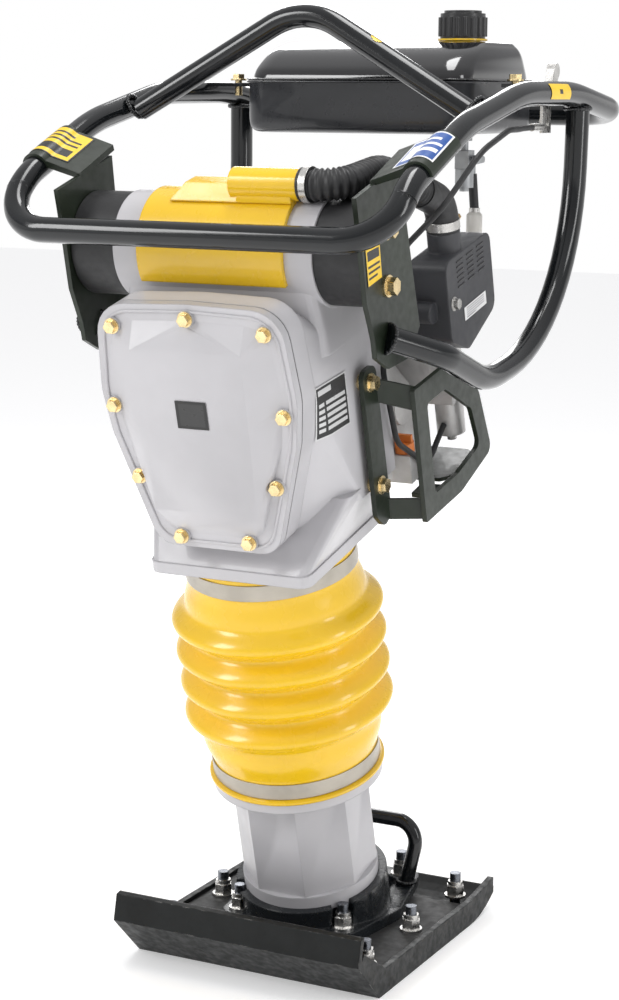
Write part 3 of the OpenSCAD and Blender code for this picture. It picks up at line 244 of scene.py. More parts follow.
def hard_finish(name, colour, drift=0.12, patch=14, rough=0.4, rough_drift=0.08, metal=0.0, coat=0.0,
                skin=600, depth=0.00004, stretch=(1, 1, 1), edge=0.0012, wear=0.0, bare=(0.42, 0.41, 0.40),
                shine=0.5):
    mat, tree, skin_node = shader(name)
    cloud = grain(tree, patch, 4)
    dark = tuple(c * (1 - drift) for c in colour)
    light = tuple(min(1, c * (1 + drift)) for c in colour)
    tint = ramp(tree, cloud, (0.35, dark), (0.5, colour), (0.68, light))
    roughness = between(tree, grain(tree, patch * 5, 3, stretch), rough - rough_drift, rough + rough_drift)
    skin_node.inputs["Metallic"].default_value = metal
    skin_node.inputs["Specular IOR Level"].default_value = shine
    if wear:
        rub = calc(tree, "MULTIPLY", rubbed_edges(tree, 0.0016),
                   between(tree, grain(tree, 90, 5), 0, 1, 0.62 - wear, 0.7))
        tint = mix_colour(tree, rub, tint, bare)
        tree.links.new(rub, skin_node.inputs["Metallic"])
    tree.links.new(tint, skin_node.inputs["Base Color"])
    tree.links.new(roughness, skin_node.inputs["Roughness"])
    skin_node.inputs["Coat Weight"].default_value = coat
    skin_node.inputs["Coat Roughness"].default_value = 0.06
    soft = add(tree, "ShaderNodeBevel", {"Radius": edge}, samples=4).outputs["Normal"]
    bump = add(tree, "ShaderNodeBump", {"Height": grain(tree, skin, 2, stretch), "Strength": 0.5,
                                        "Distance": depth, "Normal": soft})
    tree.links.new(bump.outputs["Normal"], skin_node.inputs["Normal"])
    return mat


def mix_colour(tree, factor, a, b):
    n = tree.nodes.new("ShaderNodeMix")
    n.data_type = "RGBA"
    tree.links.new(factor, n.inputs[0])
    for socket, value in ((n.inputs[6], a), (n.inputs[7], b)):
        if isinstance(value, bpy.types.NodeSocket):
            tree.links.new(value, socket)
        else:
            socket.default_value = (*value, 1)
    return n.outputs[2]


# %% [markdown]
# ## The finishes on this machine
# The castings are sprayed light grey over a slightly grainy skin. Tubes are gloss black over bent steel.
# Laser-cut plates are a dull green-black. The shoe is black too, but the ground has scoured its edges.
# Fasteners are plated either silvery zinc or yellow zinc, which drifts between gold and pink.

# %% Mix the finishes
FINISH = {
    "casting": hard_finish("grey casting paint", (0.475, 0.466, 0.482), 0.06, 9, 0.38, 0.06,
        coat=0.2, skin=420, depth=0.00010, edge=0.002),
    "gloss_black": hard_finish("gloss black tube", (0.004, 0.005, 0.006), 0.2, 20, 0.16, 0.03,
        coat=0.35, skin=200, depth=0.00001, shine=0.35),
    "plate": hard_finish("green black plate", (0.014, 0.020, 0.012), 0.18, 22, 0.42, 0.07,
        coat=0.1, skin=700, depth=0.00005, shine=0.35),
    "shoe": hard_finish("scoured shoe steel", (0.006, 0.007, 0.007), 0.35, 26, 0.46, 0.12,
        coat=0.0, skin=240, depth=0.0002, edge=0.002, wear=0.12, bare=(0.30, 0.29, 0.28), shine=0.25),
    "foot": hard_finish("black foot casting", (0.008, 0.010, 0.012), 0.25, 16, 0.26, 0.08,
        coat=0.4, skin=190, depth=0.00035, edge=0.003, shine=0.4),
    "pad": hard_finish("black pad", (0.02, 0.02, 0.02), 0.2, 30, 0.62, 0.08,
        skin=500, depth=0.0001),
    "zinc": hard_finish("zinc plating", (0.56, 0.55, 0.53), 0.12, 60, 0.30, 0.09,
        metal=1.0, skin=900, depth=0.00003, edge=0.0008),
    "machined": hard_finish("machined steel", (0.50, 0.50, 0.51), 0.08, 40, 0.26, 0.06,
        metal=1.0, skin=220, depth=0.00003, stretch=(1, 1, 9), edge=0.0006),
    "spring": hard_finish("oiled spring steel", (0.16, 0.17, 0.19), 0.2, 60, 0.30, 0.08,
        metal=1.0, skin=500, depth=0.00004),
    "band": hard_finish("brushed band steel", (0.40, 0.37, 0.32), 0.10, 30, 0.36, 0.08,
        metal=0.85, skin=160, depth=0.00004, stretch=(1, 1, 12), edge=0.0006),
    "gold": hard_finish("yellow zinc plating", (0.78, 0.62, 0.34), 0.16, 80, 0.28, 0.08,
        metal=1.0, skin=900, depth=0.00003, edge=0.0008),
    "alu": hard_finish("sand cast aluminium", (0.60, 0.59, 0.58), 0.14, 34, 0.46, 0.08,
        metal=0.55, skin=620, depth=0.00022, edge=0.0014),
    "plastic": hard_finish("grained black plastic", (0.040, 0.041, 0.046), 0.10, 18, 0.44, 0.05,
        skin=1500, depth=0.00006, edge=0.003),
    "cap": hard_finish("smooth black plastic", (0.016, 0.016, 0.017), 0.10, 24, 0.34, 0.05,
        skin=900, depth=0.00003),
    "rubber": hard_finish("black rubber", (0.018, 0.018, 0.019), 0.2, 30, 0.52, 0.08,
        skin=800, depth=0.00006),
    "muffler": hard_finish("heat dulled black", (0.030, 0.028, 0.027), 0.3, 26, 0.62, 0.08,
        skin=500, depth=0.0001, wear=0.05),
    "yellow": hard_finish("yellow moulding", (0.80, 0.50, 0.012), 0.05, 9, 0.26, 0.05,
        coat=0.35, skin=300, depth=0.00003, edge=0.0025),
    "tank_top": hard_finish("gloss black tank paint", (0.006, 0.006, 0.007), 0.15, 12, 0.12, 0.03,
        coat=0.7, skin=120, depth=0.00002, shine=0.4),
    "tank_low": hard_finish("dark grey tank paint", (0.016, 0.017, 0.020), 0.12, 12, 0.30, 0.05,
        coat=0.3, skin=300, depth=0.00003, shine=0.4),
    "valve": hard_finish("die cast valve", (0.36, 0.37, 0.38), 0.12, 60, 0.42, 0.08,
        metal=0.6, skin=900, depth=0.0001, edge=0.001),
    "orange": hard_finish("orange cap plastic", (0.70, 0.19, 0.03), 0.08, 30, 0.38, 0.06,
        skin=700, depth=0.00004),
    "paper": hard_finish("filter paper", (0.72, 0.64, 0.46), 0.1, 40, 0.8, 0.05,
        skin=120, depth=0.0004, stretch=(1, 6, 1)),
    "rope": hard_finish("braided rope", (0.62, 0.62, 0.58), 0.2, 300, 0.75, 0.05,
        skin=700, depth=0.0004),
    "brass": hard_finish("brass", (0.62, 0.42, 0.20), 0.15, 60, 0.32, 0.08,
        metal=1.0, skin=900, depth=0.00003, edge=0.0006),
    "pale": hard_finish("pale moulded nylon", (0.62, 0.60, 0.56), 0.06, 30, 0.36, 0.05,
        coat=0.2, skin=700, depth=0.00003),
    "gasket": hard_finish("grey gasket", (0.05, 0.05, 0.05), 0.1, 30, 0.7, 0.05,
        skin=600, depth=0.00005),
}
print("finishes:", len(FINISH))

# %% [markdown]
# ## Painting the parts that keep their solids
# Most parts are already the right shape, so they only change coat. The loop below is a paint schedule:
# each finish, then the parts that wear it.

# %% Paint schedule
SCHEDULE = {
    "casting": "crankcase front_cover leg_tube",
    "gloss_black": "handle_loop lifting_bar guard_tubes foot_handle tank_brackets",
    "plate": "side_plates engine_guard",
    "shoe": "shoe_plate",
    "foot": "foot_casting",
    "pad": "shoe_pad",
    "zinc": "shoe_nuts throttle_lever throttle_bracket choke_lever",
    "band": "lower_band upper_band",
    "machined": "spring_cylinder cylinder_cap bearings crank_gear clutch_drum engine_shaft piston_rod "
                "wrist_pin crank_pin",
    "spring": "lower_spring upper_spring shoe_studs",
    "gold": "case_bolts plate_bolts",
    "gasket": "cover_gasket",
    "alu": "engine_block cylinder_head clutch_shoe_left clutch_shoe_right con_rod carburettor",
    "plastic": "air_box fan_housing starter_pulley",
    "rubber": "rubber_mounts starter_grip spark_plug intake_hose cables_hoses",
    "muffler": "muffler",
    "yellow": "bellows filter_cover cap_ring",
    "tank_top": "tank_upper",
    "tank_low": "tank_lower",
    "cap": "fuel_cap",
    "valve": "fuel_valve valve_lever",
    "orange": "oil_cap",
    "paper": "filter_element",
    "rope": "starter_rope",
}
BODY_OF = {n: b for b, names in frame["record"]["behaviour"]["bodies"].items() for n in names}


def coat(ob, finish):
    ob.data.materials.clear()
    ob.data.materials.append(finish)


for finish_name, names in SCHEDULE.items():
    for n in names.split():
        coat(solids[n], FINISH[finish_name])
print("painted solids:", sum(len(v.split()) for v in SCHEDULE.values()))

# %% [markdown]
# ## Adding a piece
# Every new piece is a mesh whose object stays at the origin. It rides on the body it belongs to and may stand
# in for the solid it improves.

# %% Register a piece
def register(name, mesh, finish, like, replaces=(), ride=True):
    ob = bpy.data.objects.new(name, mesh)
    bpy.context.scene.collection.objects.link(ob)
    if not mesh.materials:
        mesh.materials.append(finish)
    if replaces:
        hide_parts(*replaces)
    if ride:
        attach(ob, BODY_OF[like])
    return ob


def skin_of(*obs):
    verts, faces = [], []
    for ob in obs:
        start = len(verts)
        verts += [ob.matrix_world @ v.co for v in ob.data.vertices]
        faces += [[start + i for i in p.vertices] for p in ob.data.polygons]
    return BVHTree.FromPolygons(verts, faces)


# %% [markdown]
# ## Castings with rounded edges
# A sand casting has no sharp edge anywhere. A copy of each casting's mesh is welded, its flat areas are
# joined into single faces, and a Bevel modifier rounds what is still sharp.

# %% Round the castings
def rounded_casting(node, width, finish, angle=34, segments=3):
    bm = bmesh.new()
    bm.from_mesh(solids[node].data)
    bmesh.ops.transform(bm, matrix=solids[node].matrix_world, verts=bm.verts)
    bmesh.ops.remove_doubles(bm, verts=bm.verts, dist=0.00002)
    bmesh.ops.dissolve_limit(bm, angle_limit=math.radians(1.2), verts=bm.verts, edges=bm.edges)
    mesh = smooth_mesh(node + "_rounded", bm)
    mesh.set_sharp_from_angle(angle=math.radians(angle))
    ob = bpy.data.objects.new(node + "_work", mesh)
    bpy.context.scene.collection.objects.link(ob)
    bevel = ob.modifiers.new("round", "BEVEL")
    bevel.width, bevel.segments, bevel.limit_method = width, segments, "ANGLE"
    bevel.angle_limit = math.radians(angle)
    bevel.use_clamp_overlap, bevel.harden_normals = True, True
    done = bpy.data.meshes.new_from_object(ob.evaluated_get(bpy.context.evaluated_depsgraph_get()))
    bpy.data.objects.remove(ob)
    done.materials.clear()
    return register(node + "_rounded", done, finish, node, [node])


castings = {n: rounded_casting(n, w, FINISH[f]) for n, w, f in (
    ("front_cover", 0.0022, "casting"), ("leg_tube", 0.004, "casting"), ("filter_cover", 0.0025, "yellow"),
    ("foot_casting", 0.0025, "foot"), ("air_box", 0.004, "plastic"), ("crankcase", 0.0025, "casting"))}
print("rounded:", {k: len(v.data.polygons) for k, v in castings.items()})

# %% [markdown]
# ## Bent tubes
# A tube bender makes straight runs joined by true arcs. The path is written as corner points with a bend
# radius each, and the arcs are filled in. A ring of points is carried along the path and turned as little
# as possible from step to step, which keeps the skin from twisting.

# %% Paths and tubes
def bend(a, b, c, radius, steps=14):
    u, v = (a - b).normalized(), (c - b).normalized()
    half = u.angle(v) / 2
    centre = b + (u + v).normalized() * radius / math.sin(half)
    first, last = b + u * radius / math.tan(half) - centre, b + v * radius / math.tan(half) - centre
    sweep = math.pi - 2 * half
    return [centre + (first * math.sin(sweep * (1 - i / steps)) + last
                      * math.sin(sweep * i / steps)) / math.sin(sweep) for i in range(steps + 1)]


def bent_path(points, radii, closed=False, steps=14):
    n = len(points)
    if closed:
        return [p for i in range(n) for p in bend(points[i - 1], points[i], points[(i + 1) % n], radii[i],
                steps)]
    middle = [p for i in range(1, n - 1) for p in bend(points[i - 1], points[i], points[i + 1], radii[i],
            steps)]
    return [points[0]] + middle + [points[-1]]


def evenly(path, step):
    out = [path[0]]
    for a, b in zip(path, path[1:]):
        count = max(1, round((b - a).length / step))
        out += [a.lerp(b, k / count) for k in range(1, count + 1)]
    return out


def tube_mesh(name, path, radius, sides=28, closed=False):
    bm = bmesh.new()
    n = len(path)
    side = None
    rings = []
    for i, p in enumerate(path):
        before = path[i - 1] if closed or i else p
        after = path[(i + 1) % n] if closed or i < n - 1 else p
        along = (after - before).normalized()
        if side is None:
            side = along.orthogonal().normalized() if not closed else Vector((0, 0,
                    1)).cross(along).normalized()
        side = (side - along * side.dot(along)).normalized()
        other = along.cross(side)
        r = radius(i / (n - 1)) if callable(radius) else radius
        rings.append([bm.verts.new(p + r * (math.cos(math.tau * k / sides) * side
                + math.sin(math.tau * k / sides) * other)) for k in range(sides)])
    for i in range(n if closed else n - 1):
        a, b = rings[i], rings[(i + 1) % n]
        for k in range(sides):
            bm.faces.new((a[k], a[(k + 1) % sides], b[(k + 1) % sides], b[k]))
    if not closed:
        bm.faces.new(rings[0][::-1])
        bm.faces.new(rings[-1])
    bmesh.ops.recalc_face_normals(bm, faces=bm.faces)
    mesh = smooth_mesh(name, bm)
    mesh.set_sharp_from_angle(angle=math.radians(50))
    return mesh


# %% Handle loop, lifting bar and guard tubes
TUBE_R, ARCH_R, FOOT_GRIP_R = 0.0125, 0.0115, 0.008
side_points = [(207, -264, 771), (207, -222, 819), (207, -100, 872), (207, 40, 902), (207, 180, 903),
               (207, 342, 880)]
side_bends = [50, 80, 240, 300, 400, 60]
loop_points = [at(*p) for p in side_points] + [at(-p[0], p[1], p[2]) for p in reversed(side_points)]
loop_bends = [r * 0.001 for r in side_bends + side_bends[::-1]]
loop = register("handle_tube", tube_mesh("handle_tube", bent_path(loop_points, loop_bends, True), TUBE_R,
        closed=True), FINISH["gloss_black"], "handle_loop", ["handle_loop"])
arch = register("lifting_tube", tube_mesh("lifting_tube", bent_path([at(186, -40, 884), at(0, -26, 989),
        at(-186, -40, 884)], [0, 0.075, 0]), ARCH_R), FINISH["gloss_black"], "lifting_bar", ["lifting_bar"])
guard_corners = [(163, -172, 676), (198, -118, 656), (200, -20, 621), (201, 203, 652), (204, 209, 890)]
for s, name in ((1, "left"), (-1, "right")):
    path = bent_path([at(s * p[0], p[1], p[2]) for p in guard_corners], [0, 0.05, 0.12, 0.205, 0])
    register(name + "_guard_tube", tube_mesh(name + "_guard_tube", path, TUBE_R), FINISH["gloss_black"],
             "guard_tubes", ["guard_tubes"])
grip_path = bent_path([at(64, 104, 35), at(76, 114, 104), at(-76, 114, 104), at(-64, 104, 35)],
                      [0, 0.024, 0.024, 0])
register("foot_grip_tube", tube_mesh("foot_grip_tube", grip_path, FOOT_GRIP_R, 20), FINISH["gloss_black"],
         "foot_handle", ["foot_handle"])
print("handle tube faces:", len(loop.data.polygons))

# %% [markdown]
# ## Bellows
# The bellows is one moulding, turned about the leg's axis, so its outline is all there is to draw: a lip, a
# plain cuff under the band, a cone, four round crests and an upper cuff. It bridges the leg and the
# crankcase, which slide past each other, so it rides on neither body.

# %% Turn the bellows
def turned(name, outline, centre=lambda up: leg(0, 0, up), sides=96, across=Vector((1, 0, 0)), other=BACK):
    bm = bmesh.new()
    rings = [[bm.verts.new(centre(up) + 0.001 * r * (math.cos(math.tau * k / sides) * across
            + math.sin(math.tau * k / sides) * other)) for k in range(sides)] for r, up in outline]
    for a, b in zip(rings, rings[1:] + rings[:1]):
        for k in range(sides):
            bm.faces.new((a[k], a[(k + 1) % sides], b[(k + 1) % sides], b[k]))
    bmesh.ops.recalc_face_normals(bm, faces=bm.faces)
    mesh = smooth_mesh(name, bm)
    mesh.set_sharp_from_angle(angle=math.radians(48))
    return mesh


def ease(t):
    return t * t * (3 - 2 * t)


def bellows_outline():
    out = [(90.5, 211.5), (92.4, 212.2), (93, 213.5), (92.8, 215.2), (91, 216.4), (87.7, 216.6), (87.6, 235)]
    for k in range(1, 10):
        t = k / 9
        out.append((87.6 + 6.4 * ease(t) + 2 * math.sin(math.pi * t), 235 + 31.3 * t))
    for crest in range(4):
        for k in range(24):
            swell = 0.5 - 0.5 * math.cos(math.tau * k / 24)
            out.append((94 + 15.5 * swell ** 0.85, 290 + 35.3 * (crest + (k - 12) / 24)))
    for k in range(10):
        t = k / 9
        out.append((94 - 6.4 * ease(t), 413.5 + 28.9 * t))
    out.append((87.6, 465))
    inside = [(r - 3.4, up) for r, up in reversed(out[7:])]
    return out + inside + [(84.2, 211.5)]


bellows = register("bellows_moulding", turned("bellows_moulding", bellows_outline()), FINISH["yellow"],
                   "bellows", ["bellows"], ride=False)
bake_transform(bellows)
print("bellows faces:", len(bellows.data.polygons))

# %% [markdown]
# ## Springs inside the leg
# Two coil springs hold the piston up in its cylinder. Their solids are good enough as they are, but they have
# to shorten and stretch with the stroke, so each is copied into a piece of its own that rides on no body.


def coil_spring(node):
    mesh = solids[node].data.copy()
    mesh.transform(solids[node].matrix_world)
    ob = register(node + "_coil", mesh, FINISH["spring"], node, [node], ride=False)
    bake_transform(ob)
    return ob


coils = [coil_spring("lower_spring"),
         coil_spring("upper_spring")]
print("spring faces:", [len(c.data.polygons) for c in coils])

# %% [markdown]
# ## Fuel tank
# The tank is two deep pressings welded at a rim. Each is lofted through rounded rectangles that draw in
# towards the top or bottom; the front of the upper one falls away in a long curve. Drawing in each side by
# its own amount is what gives the lopsided dome.

# %% Press the tank
def tank_ring(side, front, rear, z, r, steps=9):
    x, y0, y1 = 133 - side, 72 + front, 278 - rear
    pts = []
    for cx, cy, start in ((x - r, y0 + r, -90), (x - r, y1 - r, 0), (-x + r, y1 - r, 90),
                          (-x + r, y0 + r, 180)):
        pts += [at(cx + r * math.cos(math.radians(start + 90 * k / steps)),
                   cy + r * math.sin(math.radians(start + 90 * k / steps)), z) for k in range(steps + 1)]
    return pts


def curve_through(levels, fine=6):
    out = []
    for i in range(len(levels) - 1):
        p0, p1, p2, p3 = (levels[max(0, min(len(levels) - 1, i + k))] for k in (-1, 0, 1, 2))
        for k in range(fine):
            t = k / fine
            out.append([0.5 * ((2 * b) + (c - a) * t + (2 * a - 5 * b + 4 * c - d) * t * t
                    + (3 * b - a - 3 * c + d) * t ** 3) for a, b, c, d in zip(p0, p1, p2, p3)])
    return out + [list(levels[-1])]


def loft(name, rings):
    bm = bmesh.new()
    rows = [[bm.verts.new(p) for p in ring] for ring in rings]
    n = len(rows[0])
    for a, b in zip(rows, rows[1:]):
        for k in range(n):
            bm.faces.new((a[k], a[(k + 1) % n], b[(k + 1) % n], b[k]))
    bm.faces.new(rows[0][::-1])
    bm.faces.new(rows[-1])
    bmesh.ops.recalc_face_normals(bm, faces=bm.faces)
    mesh = smooth_mesh(name, bm)
    mesh.set_sharp_from_angle(angle=math.radians(40))
    return mesh


dome = curve_through([(5, 5, 5, 915.3, 28), (5.6, 7, 5.6, 922, 28), (7, 13, 7, 930, 28),
                      (9.5, 32, 10.5, 943, 28), (13.5, 56, 17.5, 952, 28), (21, 78, 30, 956.4, 26),
                      (60, 96, 70, 957, 18)])
upper_tank = register("tank_dome", loft("tank_dome", [tank_ring(*level) for level in dome]),
                      FINISH["tank_top"], "tank_upper", ["tank_upper"])
rim = [(1.2, 1.2, 1.2, 915.2, 28), (0.2, 0.2, 0.2, 915.8, 28), (0, 0, 0, 916.4, 28),
       (0.2, 0.2, 0.2, 917.1, 28), (1.2, 1.2, 1.2, 917.5, 28), (6, 6, 6, 917.6, 28)]
register("tank_upper_rim", loft("tank_upper_rim", [tank_ring(*level) for level in rim]), FINISH["tank_top"],
         "tank_upper")
bowl = curve_through([(1.6, 1.6, 1.6, 914.8, 28), (2, 2, 2, 905, 28), (2, 2, 2, 890, 28),
                      (2.2, 2.2, 2.2, 873, 28), (4.5, 4.5, 4.5, 864.5, 27), (11, 11, 11, 860.6, 24),
                      (24, 24, 24, 860, 18)])
register("tank_bowl", loft("tank_bowl", [tank_ring(*level) for level in bowl]), FINISH["tank_low"],
         "tank_lower", ["tank_lower"])
low_rim = [(a, b, c, 914.9 - (z - 915.2), r) for a, b, c, z, r in rim]
register("tank_lower_rim", loft("tank_lower_rim", [tank_ring(*level) for level in low_rim]),
         FINISH["tank_low"], "tank_lower")
neck = turned("tank_neck", [(19, 953), (19, 966), (18.4, 967), (16.6, 967), (16, 966), (16, 953)],
              centre=lambda up: at(82, 180, up), sides=48, other=Vector((0, 1, 0)))
register("tank_neck", neck, FINISH["tank_top"], "tank_upper")
print("tank dome faces:", len(upper_tank.data.polygons))

# %% [markdown]
# ## Geometry Nodes: one tree, many fasteners
# Screws, rivets and tank bolts differ only in size. A tree takes a cloud of points, each with a stored
# direction, and stands a headed screw on every one. The tree ends in Realize Instances and Set Material,
# and the result is turned into a plain mesh.

# %% A tree builder and a baker
def tree_with(name, inputs):
    tree = bpy.data.node_groups.new(name, "GeometryNodeTree")
    tree.interface.new_socket("Geometry", in_out="INPUT", socket_type="NodeSocketGeometry")
    tree.interface.new_socket("Geometry", in_out="OUTPUT", socket_type="NodeSocketGeometry")
    for label, (kind, value) in inputs.items():
        s = tree.interface.new_socket(label, in_out="INPUT", socket_type="NodeSocket" + kind)
        if value is not None:
            s.default_value = value
    return tree, tree.nodes.new("NodeGroupInput"), tree.nodes.new("NodeGroupOutput")


def finish_tree(tree, geometry, start, end):
    real = add(tree, "GeometryNodeRealizeInstances", {"Geometry": geometry})
    smooth = add(tree, "GeometryNodeSetShadeSmooth", {"Geometry": real.outputs[0], "Shade Smooth": False})
    painted = add(tree, "GeometryNodeSetMaterial", {"Geometry": smooth.outputs[0],
            "Material": start.outputs["Finish"]})
    tree.links.new(painted.outputs[0], end.inputs["Geometry"])


def grow(name, mesh, tree, values):
    ob = bpy.data.objects.new(name + "_seed", mesh)
    bpy.context.scene.collection.objects.link(ob)
    mod = ob.modifiers.new("grow", "NODES")
    mod.node_group = tree
    ids = {s.name: s.identifier for s in tree.interface.items_tree if s.item_type == "SOCKET"
           and s.in_out == "INPUT"}
    for label, value in values.items():
        mod[ids[label]] = value
    bpy.context.view_layer.update()
    done = bpy.data.meshes.new_from_object(ob.evaluated_get(bpy.context.evaluated_depsgraph_get()))
    done.name = name
    bpy.data.objects.remove(ob)
    return done


def all_smooth(mesh):
    for p in mesh.polygons:
        p.use_smooth = True
    return mesh


def points_mesh(name, spots):
    mesh = bpy.data.meshes.new(name)
    mesh.from_pydata([p for p, d in spots], [], [])
    facing = mesh.attributes.new("facing", "FLOAT_VECTOR", "POINT")
    for i, (p, d) in enumerate(spots):
        facing.data[i].vector = Vector(d).normalized()
    return mesh


# %% Screws on points
screws, start, end = tree_with("screws on points", {"Head Radius": ("Float", 0.004),
        "Head Height": ("Float", 0.003), "Corners": ("Int", 6), "Finish": ("Material", None)})
collar = calc(screws, "MULTIPLY", start.outputs["Head Radius"], 1.3)
washer = add(screws, "GeometryNodeMeshCylinder", {"Vertices": 24, "Radius": collar,
        "Depth": 0.0012}).outputs["Mesh"]
head = add(screws, "GeometryNodeMeshCylinder", {"Vertices": start.outputs["Corners"],
        "Radius": start.outputs["Head Radius"], "Depth": start.outputs["Head Height"]}).outputs["Mesh"]
half_head = calc(screws, "MULTIPLY", start.outputs["Head Height"], 0.5)
lift = add(screws, "ShaderNodeCombineXYZ", {"Z": half_head}).outputs[0]
raised = add(screws, "GeometryNodeTransform", {"Geometry": head, "Translation": lift}).outputs[0]
both = screws.nodes.new("GeometryNodeJoinGeometry")
screws.links.new(washer, both.inputs[0])
screws.links.new(raised, both.inputs[0])
facing = add(screws, "GeometryNodeInputNamedAttribute", {"Name": "facing"},
             data_type="FLOAT_VECTOR").outputs["Attribute"]
turn = add(screws, "FunctionNodeAlignRotationToVector", {"Vector": facing}, axis="Z").outputs[0]
stood = add(screws, "GeometryNodeInstanceOnPoints", {"Points": start.outputs["Geometry"],
        "Instance": both.outputs[0], "Rotation": turn}).outputs[0]
finish_tree(screws, stood, start, end)


def place_screws(name, spots, like, radius, height, finish, corners=6):
    mesh = grow(name, points_mesh(name, spots), screws, {"Head Radius": radius, "Head Height": height,
            "Corners": corners, "Finish": finish})
    return register(name, mesh, finish, like)


UPRIGHT = Vector((0, 0, 1))
LEFT = Vector((1, 0, 0))
place_screws("fan_cover_screws", [(leg(60 * math.cos(a), 296, 575.85 + 60 * math.sin(a)), BACK)
        for a in (0.6, 1.6, 2.7, 3.8, 5.2)], "fan_housing", 0.004, 0.003, FINISH["zinc"])
place_screws("head_bolts", [(leg(x, y, 756), UP_LEG) for x in (-30, 30) for y in (106, 166)],
             "cylinder_head", 0.005, 0.005, FINISH["zinc"])
place_screws("carburettor_screws", [(leg(112, y, up), LEFT) for y,
        up in ((186, 684), (208, 684), (186, 600), (208, 590))], "carburettor", 0.003, 0.003,
             FINISH["brass"])
print("screw tree nodes:", len(screws.nodes))

# %% [markdown]
# ## Geometry Nodes: weld beads
# A hand weld is a ring of overlapping ripples. The tree sets squashed beads round a circle, each sized by a
# seeded random value, so no two welds look stamped.

# %% Weld beads
weld, start, end = tree_with("weld ring", {"Radius": ("Float", 0.013), "Bead": ("Float", 0.0024),
        "Count": ("Int", 26), "Seed": ("Int", 3), "Finish": ("Material", None)})
circle = add(weld, "GeometryNodeCurvePrimitiveCircle", {"Resolution": start.outputs["Count"],
        "Radius": start.outputs["Radius"]}).outputs["Curve"]
spots = add(weld, "GeometryNodeCurveToPoints", {"Curve": circle, "Count": start.outputs["Count"]},
            mode="COUNT")
bead = add(weld, "GeometryNodeMeshUVSphere", {"Segments": 10, "Rings": 7,
        "Radius": start.outputs["Bead"]}).outputs["Mesh"]
vary = add(weld, "FunctionNodeRandomValue", {"Min": (0.8, 0.8, 0.8), "Max": (1.15, 1.15, 1.15),
        "Seed": start.outputs["Seed"]}, data_type="FLOAT_VECTOR").outputs[0]
laid = add(weld, "GeometryNodeInstanceOnPoints", {"Points": spots.outputs["Points"], "Instance": bead,
        "Scale": vary}).outputs[0]
finish_tree(weld, laid, start, end)


BEAD, BEADS_PER_METRE = 0.0024, 2200


def weld_ring(name, centre, normal, radius, like, seed):
    sizes = {"Radius": radius, "Bead": BEAD, "Count": int(radius * BEADS_PER_METRE), "Seed": seed}
    mesh = grow(name, bpy.data.meshes.new(name), weld, {**sizes, "Finish": FINISH["gloss_black"]})
    turn = Vector(normal).to_track_quat("Z", "Y").to_matrix().to_4x4()
    mesh.transform(Matrix.Translation(centre) @ turn)
    return register(name, all_smooth(mesh), FINISH["gloss_black"], like)


for s, tag in ((1, "left"), (-1, "right")):
    weld_ring(tag + "_arch_weld", at(s * 192, -40, 887), (s * -0.86, 0, 0.5), 0.0125, "lifting_bar",
              seed=5 + s)
    weld_ring(tag + "_guard_top_weld", at(s * 204, 208, 887), (0, 0, 1), 0.0132, "guard_tubes", seed=9 + s)
    weld_ring(tag + "_guard_front_weld", at(s * 164, -171, 675), (s * 0.55, 0.82, -0.3), 0.0138,
              "guard_tubes", seed=14 + s)
    weld_ring(tag + "_foot_grip_weld", at(s * 64, 104, 38), (0, 0, 1), 0.0098, "foot_handle", seed=20 + s)
print("weld tree nodes:", len(weld.nodes))

# %% [markdown]
# ## Hoses
# The intake hose is corrugated where it bends and smooth where it is clamped. A Geometry Nodes tree pushes
# a tube's radius in and out along its length, so the ribs follow the path however it is bent.

# %% Ribbed hose
ribbed, start, end = tree_with("ribbed hose", {"Radius": ("Float", 0.016), "Ridge": ("Float", 0.08),
        "Pitch": ("Float", 0.006), "Finish": ("Material", None)})
line = add(ribbed, "GeometryNodeMeshToCurve", {"Mesh": start.outputs["Geometry"]}).outputs[0]
fine = add(ribbed, "GeometryNodeResampleCurve", {"Curve": line, "Length": 0.0009}, mode="LENGTH").outputs[0]
along = add(ribbed, "GeometryNodeSplineParameter").outputs["Length"]
turns = calc(ribbed, "DIVIDE", along, start.outputs["Pitch"])
wave = calc(ribbed, "SINE", calc(ribbed, "MULTIPLY", turns, math.tau))
ridge = calc(ribbed, "MULTIPLY", wave, start.outputs["Ridge"])
swell = calc(ribbed, "MULTIPLY", calc(ribbed, "ADD", ridge, 1.0), start.outputs["Radius"])
profile = add(ribbed, "GeometryNodeCurvePrimitiveCircle", {"Resolution": 28, "Radius": 1.0}).outputs["Curve"]
skin = add(ribbed, "GeometryNodeCurveToMesh",
           {"Curve": fine, "Profile Curve": profile, "Scale": swell, "Fill Caps": True})
finish_tree(ribbed, skin.outputs[0], start, end)


def polyline(name, path):
    mesh = bpy.data.meshes.new(name)
    mesh.from_pydata(path, [(i, i + 1) for i in range(len(path) - 1)], [])
    return mesh


hose_route = bent_path([leg(86, -1.8, 844.6), leg(126, -1.8, 844.6), leg(132, 70, 838.6),
                        leg(136, 190, 772), leg(136, 190, 742)], [0, 0.028, 0.06, 0.030, 0], steps=12)
hose_route = evenly(hose_route, 0.004)
cut = next(i for i, p in enumerate(hose_route) if (p - leg(136, 190, 772)).length < 0.045)
ribs = grow("intake_hose_ribs", polyline("ribs", hose_route[2:cut]), ribbed,
            {"Radius": 0.0148, "Ridge": 0.07, "Pitch": 0.0060, "Finish": FINISH["rubber"]})
register("intake_hose_ribs", all_smooth(ribs), FINISH["rubber"], "intake_hose", ["intake_hose"])
register("intake_elbow", tube_mesh("intake_elbow", hose_route[cut - 2:], 0.0168, 32), FINISH["rubber"],
         "intake_hose")
register("intake_hose_cuff", tube_mesh("intake_hose_cuff", hose_route[:4], 0.0164, 32), FINISH["rubber"],
         "intake_hose")


